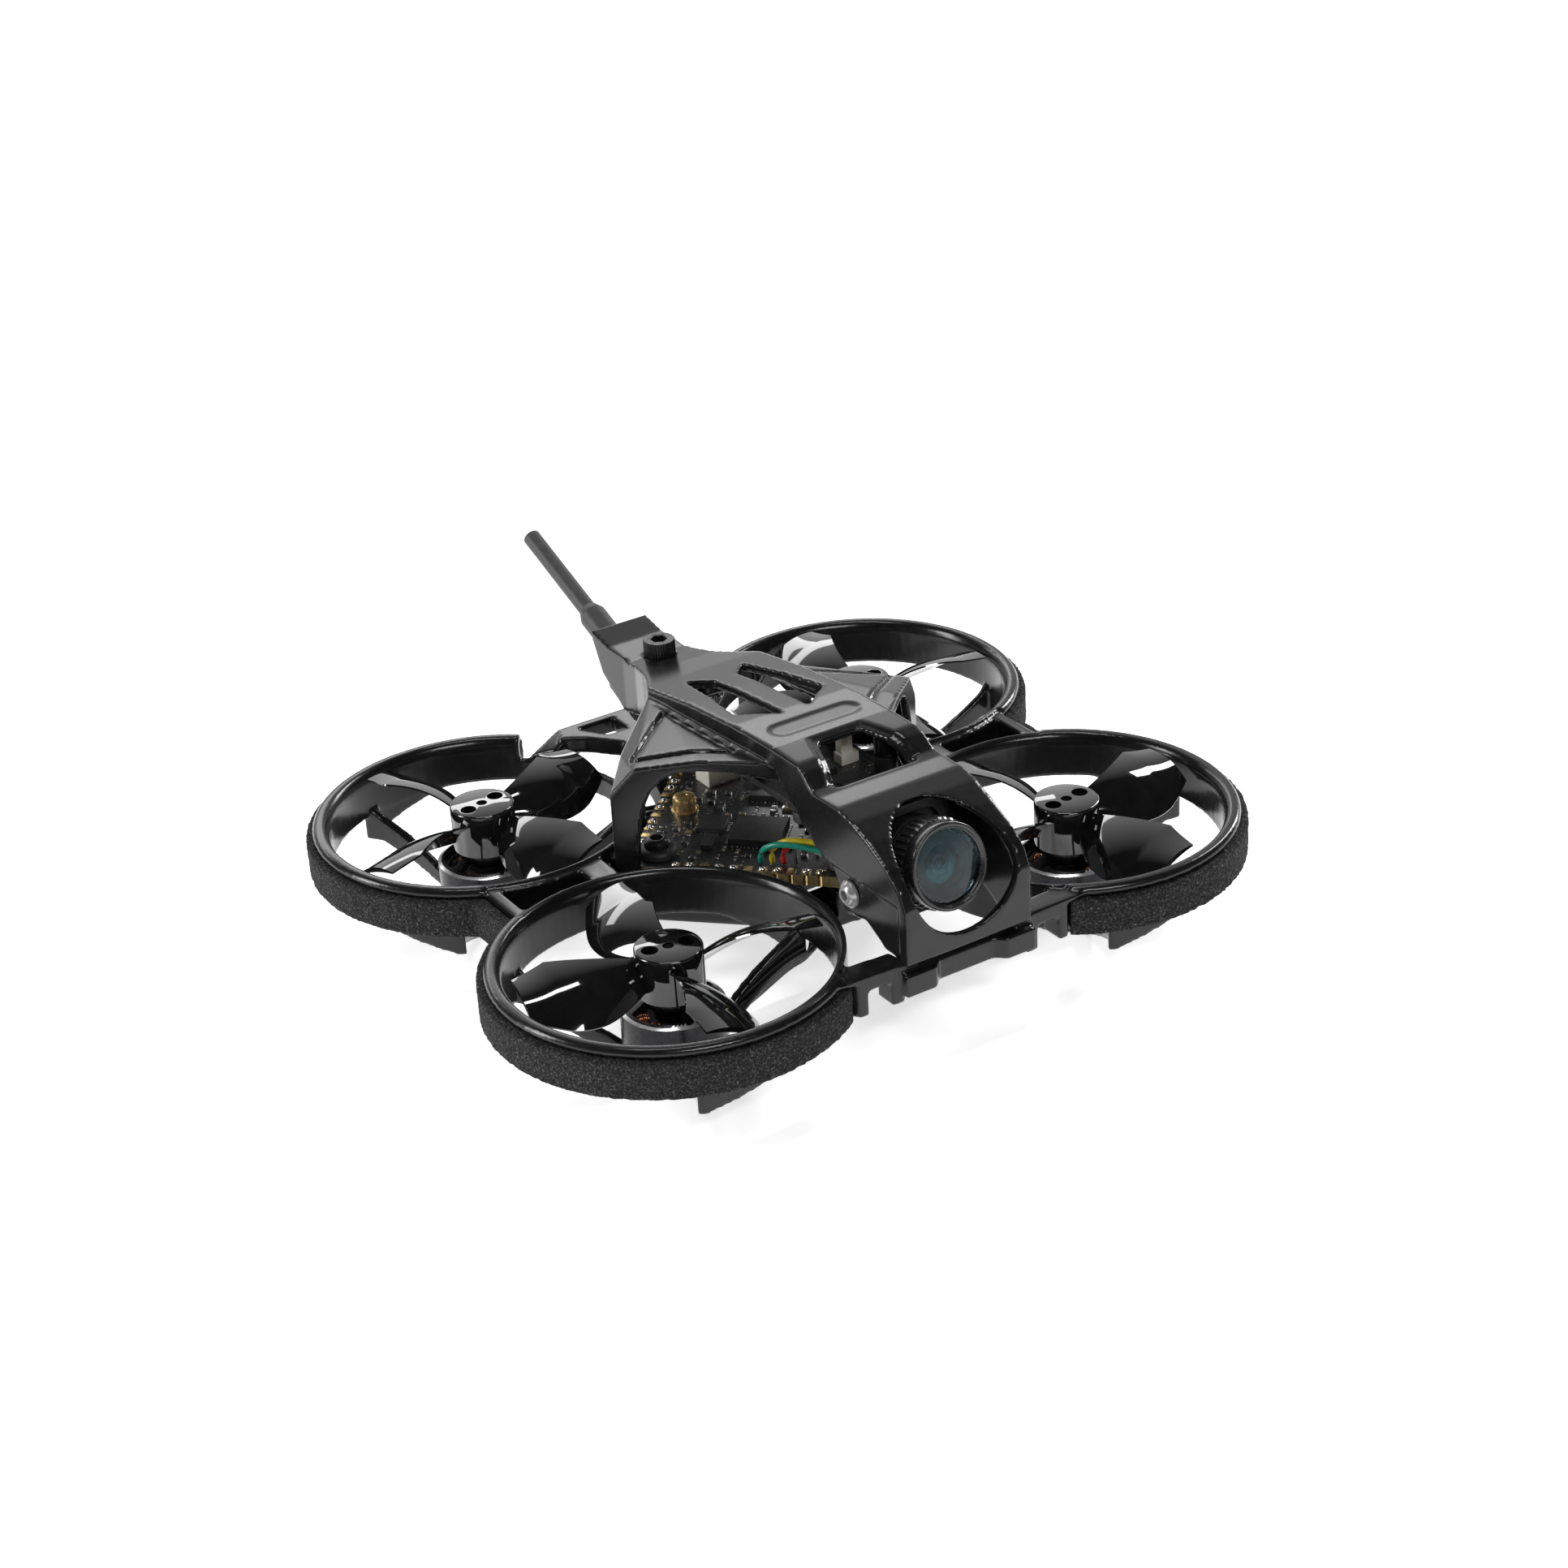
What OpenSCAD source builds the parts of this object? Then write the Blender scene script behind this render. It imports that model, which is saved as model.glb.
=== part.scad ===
/* [Layout] */
// Distance between the left and right motor axes
motor_x = 62.2; // [62:0.1:62.4]
// Distance between the front and rear motor axes
motor_y = 48.7; // [48.6:0.1:48.9]

/* [Ducts] */
// Inner radius of a duct at its throat
throat_r = 20.8; // [20.6:0.1:21]
// Thickness of a duct's wall
duct_wall = 1.3; // [1.2:0.1:1.4]
// Height of the duct rims above the belly
duct_top = 8.7; // [8.5:0.1:8.9]
// Height of the ducts' lower edges above the belly
duct_bottom = 2.1; // [2:0.1:2.2]
// Outer radius of the rim flange over the foam
flange_r = 23.1; // [22.8:0.1:23.3]
// Top of the low stretch of a rear duct beside the tail
low_band_top = 5.3; // [5:0.1:5.6]

/* [Bumpers] */
// Thickness of the foam strip
foam_t = 2; // [1.6:0.1:2.2]
// Top of the foam, under the flange
foam_top = 7.4; // [7.2:0.1:7.5]
// Bottom of the foam
foam_bottom = 2.2; // [2.2:0.1:2.6]

/* [Spokes] */
// Thickness of a spoke
spoke_t = 1.3; // [1.1:0.1:1.5]
// Underside of the motor mounts, which the drone stands on
mount_bottom = -7; // [-7.1:0.1:-6.9]
// Top of the motor mounts
mount_top = -5.4; // [-5.5:0.1:-5.4]
// Radius of a motor mount
mount_r = 7.2; // [7:0.1:7.3]

/* [Propellers] */
// Radius of a propeller
prop_r = 19.6; // [19:0.1:19.8]
// Radius of a propeller's hub
hub_r = 4.38; // [4.2:0.02:4.5]
// Underside of the hub
hub_bottom = 3; // [3:0.1:3.1]
// Top of the hub
hub_top = 9.5; // [9.4:0.1:9.6]
// Number of blades on a propeller
blade_count = 4; // [3:1:4]

/* [Motors] */
// Outer radius of the motor bell
bell_r = 6.75; // [6.6:0.05:6.8]
// Lower edge of the bell
bell_bottom = -3.7; // [-3.8:0.05:-3.65]
// Height of the bell's shoulder, where its windows start
bell_shoulder = 1.2; // [1.1:0.05:1.3]
// Radius of the motor shaft
shaft_r = 0.75; // [0.75:0.05:0.75]
// Circle of the three motor screws
motor_pcd = 6.6; // [6.4:0.1:6.8]

/* [Canopy] */
// Thickness of the canopy's skin
skin = 1.3; // [1.1:0.1:1.4]
// Half width of the roof
roof_half = 9.2; // [9.1:0.1:9.3]
// Half width of the hood over the camera
hood_half = 9.5; // [9.4:0.1:9.6]
// Half width of the tail
tail_half = 4.5; // [4.4:0.1:4.7]
// Radius of the hood's round opening
opening_r = 8; // [7.8:0.1:8.2]

/* [Boards] */
// Side of the square flight board
board_w = 32.6; // [32:0.1:33]
// Top face of the flight board
board_top = 7.5; // [7.4:0.1:7.6]
// Distance from the centre to each mounting hole
board_hole = 18; // [17.9:0.05:18.1]

/* [Camera] */
// Upward tilt of the lens
lens_tilt = 15; // [13:1:17]
// Side of the camera's square case
camera_w = 14; // [13.8:0.1:14]

/* [Hidden] */

// The front is -Y, the drone's left is +X, and z = 0 is the belly's underside.
mx = motor_x / 2;
my = motor_y / 2;
wall_r = throat_r + duct_wall;
foam_r = wall_r + foam_t;
fine = 96;

// Where a spoke meets the duct, as an angle about a front motor, and every third of a turn
spoke_angle = 8;
// Arc of the foam and of the rim flange about the front right motor, and about the rear right one
front_arc = [118, 307];
rear_arc = [48, 242];
// Outer face of the web that joins two ducts
web_x = 41.5;

// Outline of a pie slice from angle a to angle b
module slice(a, b, r) {
    polygon(concat([[0, 0]], [for (i = [0:12]) let (t = a + (b - a) * i / 12) r * [cos(t), sin(t)]]));
}

// One solid turned about a motor axis, kept between two angles
module arc_solid(a, b, low, high) {
    intersection() {
        children();
        translate([0, 0, low]) linear_extrude(high - low) slice(a, b, 40);
    }
}

// ---------------------------------------------------------------- frame

// Rounded bell mouth of a duct, from the throat to the rim
mouth = [for (a = [90:-18:0]) [throat_r + 1.1 * (1 - cos(a)), duct_top - 1.8 * (1 - sin(a))]];

module duct_ring() {
    rotate_extrude($fn = fine) polygon(concat(
        [[throat_r, duct_bottom], [wall_r, duct_bottom], [wall_r, duct_top]], mouth));
}

module rim_flange() {
    rotate_extrude($fn = fine) polygon([
        [wall_r - 0.6, foam_top + 0.1], [flange_r, foam_top + 0.1], [flange_r, duct_top - 0.5],
        [flange_r - 0.5, duct_top], [wall_r - 0.6, duct_top]
    ]);
}

// Seen from the side, a spoke is deep at the duct and thin over the motor mount
spoke_profile = [
    [5.5, mount_bottom + 0.1], [8, mount_bottom + 0.1], [19.4, -1.6], [wall_r - 0.2, -1.6],
    [wall_r - 0.2, 4.5], [throat_r + 0.1, 3.4], [19.3, 2], [9.2, -3.9], [7.2, -5.3], [6.6, -5.5], [5.5, -5.5]
];
spoke_bow_r = 30;

module spoke() {
    intersection() {
        rotate_extrude($fn = fine) polygon(spoke_profile);
        translate([13.5, 1.1 - spoke_bow_r, -10]) difference() {
            cylinder(r = spoke_bow_r + spoke_t / 2, h = 16, $fn = fine);
            translate([0, 0, -1]) cylinder(r = spoke_bow_r - spoke_t / 2, h = 18, $fn = fine);
        }
        translate([4, -5, -10]) cube([20, 10, 20]);
    }
}

// Tooth of duct wall that runs down beside each spoke's outer end
module skirt_tooth() {
    intersection() {
        translate([0, 0, -1.6]) difference() {
            cylinder(r = wall_r - 0.1, h = duct_bottom + 2, $fn = fine);
            translate([0, 0, -1]) cylinder(r = throat_r + 0.1, h = duct_bottom + 4, $fn = fine);
        }
        rotate(18) translate([0, -6.9, 0]) rotate([90, 0, 90])
            linear_extrude(30) polygon([[0, -1.6], [0, duct_bottom + 0.3], [13.8, duct_bottom + 0.3]]);
    }
}

module motor_mount() {
    difference() {
        translate([0, 0, mount_bottom]) cylinder(r = mount_r, h = mount_top - mount_bottom, $fn = fine);
        translate([0, 0, mount_bottom - 1]) cylinder(r = 1.7, h = 5, $fn = 32);
        for (a = [0:120:240]) rotate(a) translate([motor_pcd / 2, 0, mount_bottom - 1]) {
            cylinder(r = 0.72, h = 5, $fn = 24);
            cylinder(r = 1.3, h = 1.75, $fn = 24);
        }
    }
}

// A duct with its spokes and mount about its own motor axis, as on the front right
module duct() {
    duct_ring();
    for (a = [0:120:240]) rotate(a + spoke_angle) {
        spoke();
        skirt_tooth();
    }
    motor_mount();
}

// Places its children at a front motor (end = -1) or mirrored at a rear one (end = 1)
module at_duct(side, end) {
    translate([side * mx, end * my, 0]) mirror([0, end == 1 ? 1 : 0, 0]) children();
}

// Same, and mirrored left to right too, for what follows the outline
module at_side(side) {
    mirror([side == 1 ? 1 : 0, 0, 0]) children();
}

module side_flanges() {
    translate([-mx, -my, 0]) arc_solid(front_arc[0], front_arc[1], 0, 10) rim_flange();
    translate([-mx, my, 0]) arc_solid(rear_arc[0], rear_arc[1], 0, 10) rim_flange();
}

// Space inside the ducts, which webs and links stop short of, half way through the wall
module duct_bores(h = 30) {
    for (side = [-1, 1]) for (end = [-1, 1])
        translate([side * mx, end * my, -10]) cylinder(r = throat_r + 0.5, h = h, $fn = fine);
}

// Web between the two ducts of one side, with the pocket that lightens it
module web() {
    difference() {
        translate([-web_x, -8, duct_bottom]) cube([web_x - 25, 16, 6.1]);
        duct_bores();
        difference() {
            translate([-39.9, -6, duct_bottom + 1.2]) cube([11, 12, 10]);
            for (end = [-1, 1])
                translate([-mx, end * my, -1]) cylinder(r = wall_r + 0.9, h = 20, $fn = fine);
        }
    }
}

belly_t = 1.6;
rim_t = 1.8;
rim_top = 5.2;
// Top of the posts that carry the flight board
post_top = 4.3;

// Diamond with cut off front and rear corners, as wide as half_w from the centre
module diamond(half_w, cut_y) {
    polygon([
        [half_w, 0], [half_w - cut_y, cut_y], [cut_y - half_w, cut_y],
        [-half_w, 0], [cut_y - half_w, -cut_y], [half_w - cut_y, -cut_y]
    ]);
}

module belly() {
    difference() {
        union() {
            linear_extrude(belly_t) diamond(24.6, 20);
            difference() {
                linear_extrude(rim_top) diamond(24.6, 20);
                translate([0, 0, belly_t]) linear_extrude(rim_top) diamond(24.6 - rim_t, 20 - rim_t);
            }
            for (a = [0:90:270]) rotate(a)
                translate([board_hole, 0, 0]) cylinder(r = 2.2, h = post_top, $fn = 32);
        }
        // slots for the battery strap, and the lightening windows
        for (end = [-1, 1]) {
            translate([-7, end * 10.5 - 1.2, -1]) cube([14, 2.4, 4]);
            translate([end * 12.2, 0, -1])
                linear_extrude(4) polygon([[-3.4, 0], [0, 4.6], [3.4, 0], [0, -4.6]]);
        }
        for (a = [0:90:270]) rotate(a) translate([board_hole, 0, 0]) {
            translate([0, 0, -1]) cylinder(r = 0.85, h = 8, $fn = 24);
            // room for a grommet beside the rim wall
            translate([0, 0, post_top]) cylinder(r = 2.9, h = 3, $fn = 32);
        }
        duct_bores();
        // passages for the motor leads, through the rim wall on the right and the plate's edge on the left
        for (end = [-1, 1]) {
            translate([-11, end * 16.4 - 4.4, belly_t]) cube([8, 8.8, 6]);
            translate([17.6, end * 5.9, -1]) rotate(end * -45) translate([-3, -2.2, 0]) cube([6.6, 4.4, 8]);
        }
    }
    // landings for the canopy's two corner legs, joined to the webs
    for (side = [-1, 1]) translate([side * 25.2 - 1.9, -3.4, duct_bottom - 0.5]) cube([3.8, 6.8, 4.8]);
}

chin_half = 9.9;
chin_low = 3.8;
chin_high = 6.9;
foam_end = 307.6;

// Bar across the nose whose two ends stand forward
module chin_bar() {
    translate([0, 0, chin_low]) linear_extrude(chin_high - chin_low) polygon([
        [-chin_half, -41.6], [-chin_half, -45.4], [-5.4, -45.4], [-4.2, -44.2],
        [4.2, -44.2], [5.4, -45.4], [chin_half, -45.4], [chin_half, -41.6]
    ]);
}

module chin() {
    chin_bar();
    for (side = [-1, 1]) at_side(side) {
        translate([-chin_half, -44.3, chin_low]) cube([2.4, 3, 4]);
        // link from the bar to the duct, cut away where the foam ends
        difference() {
            translate([0, 0, 2.6]) linear_extrude(5.6)
                polygon([[-9.3, -44.2], [-19.6, -43.9], [-17.6, -40.2], [-9.3, -40.8]]);
            duct_bores();
            translate([-14.6, -45, 1.8]) cube([3.4, 6, 4.2]);
            translate([-mx, -my, 0]) linear_extrude(foam_top + 0.05) slice(280, foam_end, 40);
        }
    }
}

link_top = 8.5;
link_t = 2.4;

// Bridge between the rear ducts, under the tail
module rear_link() {
    difference() {
        union() {
            translate([0, 0, link_top - link_t]) linear_extrude(link_t) polygon([
                [-9.6, 39.4], [9.6, 39.4], [12.2, 36.6], [9, 34.2], [5.6, 29.8], [5.6, 24.4],
                [-5.6, 24.4], [-5.6, 29.8], [-9, 34.2], [-12.2, 36.6]
            ]);
            // ramps down to the ducts
            for (side = [-1, 1]) at_side(side) translate([0, 39.3, 0]) rotate([90, 0, 0])
                linear_extrude(3.4) polygon([[-8, link_top], [-8, link_top - link_t], [-14.6, 2.6],
                                             [-17.8, 2.6], [-17.8, 4.6], [-11, link_top]]);
            // legs down to the belly's rear edge
            for (side = [-1, 1]) translate([side * 4.4 - 1.2, 0, 0]) rotate([90, 0, 90]) linear_extrude(2.4)
                polygon([[18.6, 0], [18.6, 3], [24.6, link_top], [27, link_top], [27, 6.1], [20.6, 0]]);
        }
        for (side = [-1, 1]) at_side(side)
            translate([0, 0, 5]) linear_extrude(5)
                polygon([[-8.6, 37.7], [-2.6, 37.7], [-2.6, 33.4], [-5.9, 33.4]]);
        translate([0, 27.3, 0]) cylinder(r = 1.3, h = 12, $fn = 32);
        duct_bores();
    }
}

module frame() {
    color([0.05, 0.05, 0.055]) {
        for (side = [-1, 1]) {
            at_duct(side, -1) duct();
            difference() {
                at_duct(side, 1) duct();
                translate([side * mx, my, low_band_top])
                    linear_extrude(10) mirror([side == 1 ? 1 : 0, 0, 0]) slice(-8, rear_arc[0], 40);
            }
            at_side(side) {
                side_flanges();
                web();
            }
        }
        belly();
        chin();
        rear_link();
    }
}

// ---------------------------------------------------------------- foam

module bumper(side) {
    at_side(side) translate([0, 0, foam_bottom]) linear_extrude(foam_top - foam_bottom) difference() {
        union() {
            translate([-mx, -my]) intersection() {
                circle(r = foam_r, $fn = fine);
                slice(front_arc[0], front_arc[1], 40);
            }
            translate([-mx, my]) intersection() {
                circle(r = foam_r, $fn = fine);
                slice(rear_arc[0], rear_arc[1], 40);
            }
            translate([-web_x - foam_t, -6]) square([foam_t, 12]);
        }
        for (end = [-1, 1]) translate([-mx, end * my]) circle(r = wall_r, $fn = fine);
        translate([-web_x, -10]) square([30, 20]);
    }
}

module foam_right() { color([0.16, 0.16, 0.17]) bumper(-1); }
module foam_left() { color([0.16, 0.16, 0.17]) bumper(1); }

// ---------------------------------------------------------------- canopy

// Side view of the canopy's top line, [y, z], from the tail to the nose
top_line = [
    [38.6, 22.3], [34, 21.4], [28, 21.2], [22, 22.1], [15.4, 23.5], [5, 25.1], [-6.8, 26.2], [-16, 26.5],
    [-21.4, 26.4], [-23, 25.8], [-25.2, 24.2], [-26.8, 24], [-30.8, 24.1], [-34, 23.4], [-37.7, 21.9],
    [-41.4, 19.9], [-43.8, 17.9], [-45, 15.6], [-45.2, 12.8], [-45, 7.9]
];
// The same line, one skin further in
inner_line = [
    [38.6, 21], [34, 20.1], [28, 19.9], [22.2, 20.8], [15.6, 22.2], [5.2, 23.8], [-6.8, 24.9], [-16, 25.2],
    [-20.8, 25.1], [-22.2, 24.4], [-24.8, 22.6], [-27.5, 22.8], [-30.6, 22.8], [-33.6, 22.1], [-37, 20.7],
    [-40.4, 18.8], [-42.6, 17], [-43.7, 15.2], [-43.9, 12.8], [-43.7, 7.9]
];
// Lower edge of the side walls, [y, z], from the tail to the nose
lower_line = [
    [38.6, 21.2], [36.4, 16.6], [30.8, 12.7], [25.8, 13.7], [20.4, 16.4], [15.8, 18], [13.2, 21.4],
    [0, 22.8], [-15.6, 23.7], [-18, 21.6], [-21, 19.1], [-24.8, 16.8], [-28, 15.4], [-29.6, 13.2],
    [-30.2, 11.3], [-31.6, 10], [-33.6, 9.7], [-35.6, 10.2], [-38.6, 8.6], [-39.6, 7.9], [-45, 7.9]
];
// Half of the plan of the roof, hood and tail, [x, y]
plan_line = [
    [tail_half, 39], [tail_half, 30], [tail_half + 0.4, 26], [5.8, 22.4], [7.3, 18.8], [roof_half, 15.4],
    [roof_half, -21], [hood_half, -25], [hood_half, -46]
];

function flip(line) = [for (i = [len(line) - 1:-1:0]) [-line[i][0], line[i][1]]];
function narrow(line, t) = [for (p = line) [p[0] - t, p[1]]];
function reversed(line) = [for (i = [len(line) - 1:-1:0]) line[i]];

module plan(t) {
    linear_extrude(40) polygon(concat(narrow(plan_line, t), flip(narrow(plan_line, t))));
}

// Extrudes a [y, z] outline across the drone, kept inside a plan outline if one is given
module across(half_w, outline, inside = []) {
    intersection() {
        translate([-half_w, 0, 0]) rotate([90, 0, 90]) linear_extrude(2 * half_w) polygon(outline);
        if (len(inside) > 0) linear_extrude(40) polygon(inside);
        else translate([-20, -60, 0]) cube([40, 120, 40]);
    }
}

// Corners of a shoulder on the left: its inner edge, its front and rear edges, and its outer corner
shoulder_points = [
    [8.2, 16.5, 21.9], [19.5, 5.2, 20.8], [24.35, 0.35, 18], [21.8, -2.2, 22.1], [15.7, -8.3, 23.7],
    [8.2, -15.8, 24.1]
];
leg_bottom = 6.4;
leg_points = [for (i = [0, 2, 5]) [shoulder_points[i][0], shoulder_points[i][1], leg_bottom]];

// Block under one shoulder, down to the foot of its leg
module shoulder_block() {
    polyhedron(points = concat(shoulder_points, leg_points), faces = [
        [0, 1, 3], [0, 3, 4], [0, 4, 5], [1, 2, 3],
        [0, 6, 7, 2, 1], [2, 7, 8, 5, 4, 3], [5, 8, 6, 0], [6, 8, 7]
    ]);
}

// Arches under a shoulder, as [x, z] on its front and rear faces
front_arch = [[22.1, 6], [21.7, 13.4], [21.2, 16.4], [20.4, 18.9], [19.2, 20.7], [17.6, 21.8], [15.4, 22.2],
              [12.4, 22], [8.6, 21.3], [4, 21.3], [4, 6]];
rear_arch = [[22.2, 6], [21.8, 12.6], [21.2, 15.6], [20.2, 17.7], [18.6, 18.9], [16.4, 19.5], [14, 19.9],
             [12, 20.2], [8.6, 20.2], [4, 20.2], [4, 6]];

module arch(outline, along) {
    translate([12, 12 * along, 0]) rotate(-45 * along) rotate([90, 0, 0]) linear_extrude(5, center = true)
        polygon([for (p = outline) [(p[0] - 12) * sqrt(2), p[1]]]);
}

groove_w = 0.7;
groove_depth = 0.6;
// Ends of the straight grooves on a shoulder, [x, y]
groove_lines = [[[10.2, 9.4], [20.6, 0.4]], [[20.6, 0.4], [10.2, -8.6]], [[10.2, -8.6], [10.2, 9.4]]];

// Space of the grooves, down to an even depth under the shoulder's surface
module grooves() {
    difference() {
        for (line = groove_lines) let (d = line[1] - line[0])
            translate([line[0][0], line[0][1], 15]) rotate(atan2(d[1], d[0]))
                translate([0, -groove_w / 2, 0]) cube([norm(d), groove_w, 12]);
        translate([0, 0, -groove_depth]) shoulder_block();
    }
}

module shoulder() {
    difference() {
        shoulder_block();
        grooves();
        translate([-1.7, 0, -skin]) shoulder_block();
        translate([-1.7, 0, -skin - 4]) shoulder_block();
        arch(front_arch, -1);
        translate([0, 0.7, 0]) arch(rear_arch, 1);
    }
}

// Seat of the screw on the tail
tail_seat = 21;
camera_y = -32.8;
camera_z = 12.9;

// Places its children in the camera's own axes: x across, y back along the lens, z up
module camera_axes() {
    translate([0, camera_y, camera_z]) rotate([-lens_tilt, 0, 0]) children();
}
lens_z = 1.95;
lens_front = -9.3;

module canopy() {
    color([0.03, 0.03, 0.033]) {
        difference() {
            union() {
                // skin of the roof, hood and tail
                intersection() {
                    across(12, concat(top_line, reversed(inner_line)));
                    plan(0);
                }
                // side walls
                intersection() {
                    across(12, concat(top_line, reversed(lower_line)));
                    difference() {
                        plan(0);
                        translate([0, 0, -1]) plan(skin);
                    }
                }
                // bosses over the video board
                for (side = [-1, 1]) for (y = [-18.6, -6.4])
                    translate([side * 6.3, y, 21.9]) cylinder(r = 1.5, h = 3.4, $fn = 24);
            }
            // round opening over the lens
            camera_axes() translate([0, -2.4, lens_z]) rotate([90, 0, 0])
                cylinder(r = opening_r, h = 20, $fn = fine);
            // window behind the hood
            translate([0, 0, 20]) linear_extrude(10)
                polygon([[-2.7, -17.3], [-3.5, -17.9], [-6.2, -26], [6.2, -26], [3.5, -17.9], [2.7, -17.3]]);
            // shallow step round the window, under a line that slopes with the roof
            across(7, [[-16.3, 27], [-16.3, 26.5], [-17, 26.1], [-21.6, 25.9], [-23.4, 25.1], [-25.4, 23.6],
                       [-25.4, 27]], [[-4, -16.3], [-7, -25.4], [7, -25.4], [4, -16.3]]);
            // two slots in the roof
            for (side = [-1, 1]) at_side(side) translate([0, 0, 18]) linear_extrude(12)
                polygon([[-4.6, 12.9], [-1.8, 9.6], [-1.9, -7.6], [-6.9, -3.4]]);
            // plain pill shaped recess
            translate([0, -11.9, 26.15]) linear_extrude(3) {
                translate([-4.9, -1.9]) square([9.8, 3.8]);
                for (side = [-1, 1]) translate([side * 4.9, 0]) circle(r = 1.9, $fn = 32);
            }
            // screw holes of the tail, with a seat for the screw's head, and of the camera
            translate([0, 27.3, 18]) cylinder(r = 1.3, h = 8, $fn = 32);
            translate([0, 27.3, tail_seat]) cylinder(r = 2.4, h = 3, $fn = 32);
            translate([-12, camera_y, camera_z]) rotate([0, 90, 0]) cylinder(r = 1.07, h = 24, $fn = 32);
            // lower hood sides stand back from the upper ones
            for (side = [-1, 1]) translate([side * 9.7 - 0.5, -43.4, 7]) cube([1, 18, 8.6]);
            // screw holes in the bosses
            for (side = [-1, 1]) for (y = [-18.6, -6.4])
                translate([side * 6.3, y, 21]) cylinder(r = 0.8, h = 3.6, $fn = 24);
        }
        for (side = [-1, 1]) at_side(-side) shoulder();
    }
}

// ---------------------------------------------------------------- tail

module tail_pad() {
    color([0.12, 0.12, 0.12]) across(3.1, [
        [37.8, 14.9], [37.1, 13.4], [31, 10.7], [29.6, 10.8], [29.6, 12.2], [30.7, 12]]);
}

module tail_standoff() {
    color([0.25, 0.25, 0.27]) translate([0, 27.3, link_top]) difference() {
        cylinder(r = 2, h = 11.3, $fn = 32);
        translate([0, 0, -1]) cylinder(r = 1.2, h = 14, $fn = 32);
    }
}

module tail_screws() {
    color([0.07, 0.07, 0.075]) {
        translate([0, 27.3, tail_seat + 0.02]) difference() {
            cylinder(r = 2.25, h = 2.75, $fn = 32);
            translate([0, 0, 1.3]) cylinder(r = 1.2, h = 3, $fn = 6);
        }
        translate([0, 27.3, 15.5]) cylinder(r = 1.19, h = 5.8, $fn = 32);
        translate([0, 27.3, 4.7]) cylinder(r = 2.2, h = 1.4, $fn = 32);
        translate([0, 27.3, 6]) cylinder(r = 1.19, h = 6, $fn = 32);
    }
}

// ---------------------------------------------------------------- boards

board_t = 1.6;
board_corner = board_w / sqrt(2);

module flight_board() {
    color([0.06, 0.06, 0.07]) translate([0, 0, board_top - board_t]) difference() {
        linear_extrude(board_t) intersection() {
            rotate(45) square(board_w, center = true);
            square(2 * board_corner - 3.2, center = true);
        }
        for (a = [0:90:270]) rotate(a) translate([board_hole, 0, -1]) cylinder(r = 2.05, h = 4, $fn = 32);
    }
}

// Places a component, given its centre, its plan size and its height, turned with the board
module component(x, y, size_x, size_y, height, turn = 45) {
    translate([x, y, board_top]) rotate(turn) translate([-size_x / 2, -size_y / 2, 0])
        cube([size_x, size_y, height]);
}

module board_chips() {
    color([0.1, 0.1, 0.11]) {
        component(-4.6, -3.9, 7, 7, 1);
        component(-8.2, 1.9, 3.8, 3.8, 0.8);
        component(-11.4, -2.1, 3.2, 1.6, 0.8);
        component(3, 5.2, 5, 5, 0.9);
        component(8.4, 0.6, 3, 3, 0.8);
        component(1.2, -10.6, 3, 3, 0.8);
        for (i = [-1.5:1:1.5]) component(10.4 + 1.5 * i, 8.2 - 1.5 * i - 1.2, 1.6, 3.2, 0.9);
    }
}

module crystal_can() {
    color([0.75, 0.6, 0.25]) translate([-8.6, 8.4, board_top]) cylinder(r = 1.9, h = 2.2, $fn = 32);
}

module board_sockets() {
    color([0.85, 0.83, 0.78]) {
        component(0.5, 13.4, 6.4, 3.6, 2.6, 0);
        translate([-3, 3, board_top - board_t - 3.6]) cube([6, 4, 3.6]);
    }
}

module usb_port() {
    color([0.7, 0.7, 0.72]) component(12.9, -4.6, 5.6, 5, 2.4);
}

module board_grommets() {
    color([0.09, 0.09, 0.09]) for (a = [0:90:270]) rotate(a) translate([board_hole, 0, 4.3]) difference() {
        union() {
            cylinder(r = 2.7, h = board_top - board_t - 4.3, $fn = 32);
            cylinder(r = 2, h = 4.4, $fn = 32);
            translate([0, 0, board_top - 4.3]) cylinder(r = 2.7, h = 1.3, $fn = 32);
        }
        translate([0, 0, -1]) cylinder(r = 1.05, h = 8, $fn = 24);
    }
}

module board_screws() {
    color([0.1, 0.1, 0.1]) for (a = [0:90:270]) rotate(a) translate([board_hole, 0, 0]) {
        translate([0, 0, 0.6]) cylinder(r = 0.84, h = 8.2, $fn = 24);
        difference() {
            translate([0, 0, board_top + 1.3]) cylinder(r = 1.75, h = 1.2, $fn = 32);
            translate([0, 0, board_top + 1.9]) cylinder(r = 0.8, h = 2, $fn = 6);
        }
    }
}

video_z = 18;

module video_board() {
    color([0.05, 0.07, 0.06]) difference() {
        translate([-7.8, -21.2, video_z]) cube([15.6, 17.6, 1]);
        for (side = [-1, 1]) for (y = [-18.6, -6.4])
            translate([side * 6.3, y, video_z - 1]) cylinder(r = 1.05, h = 4, $fn = 24);
    }
}

module video_parts() {
    color([0.12, 0.12, 0.13]) {
        translate([-4.2, -15, video_z + 1]) cube([5.4, 5.4, 1.2]);
        translate([-1.6, -20.4, video_z + 1]) cube([3.4, 3, 1.6]);
        translate([-4, -14.5, video_z - 1.2]) cube([8, 7, 1.2]);
    }
}

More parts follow.
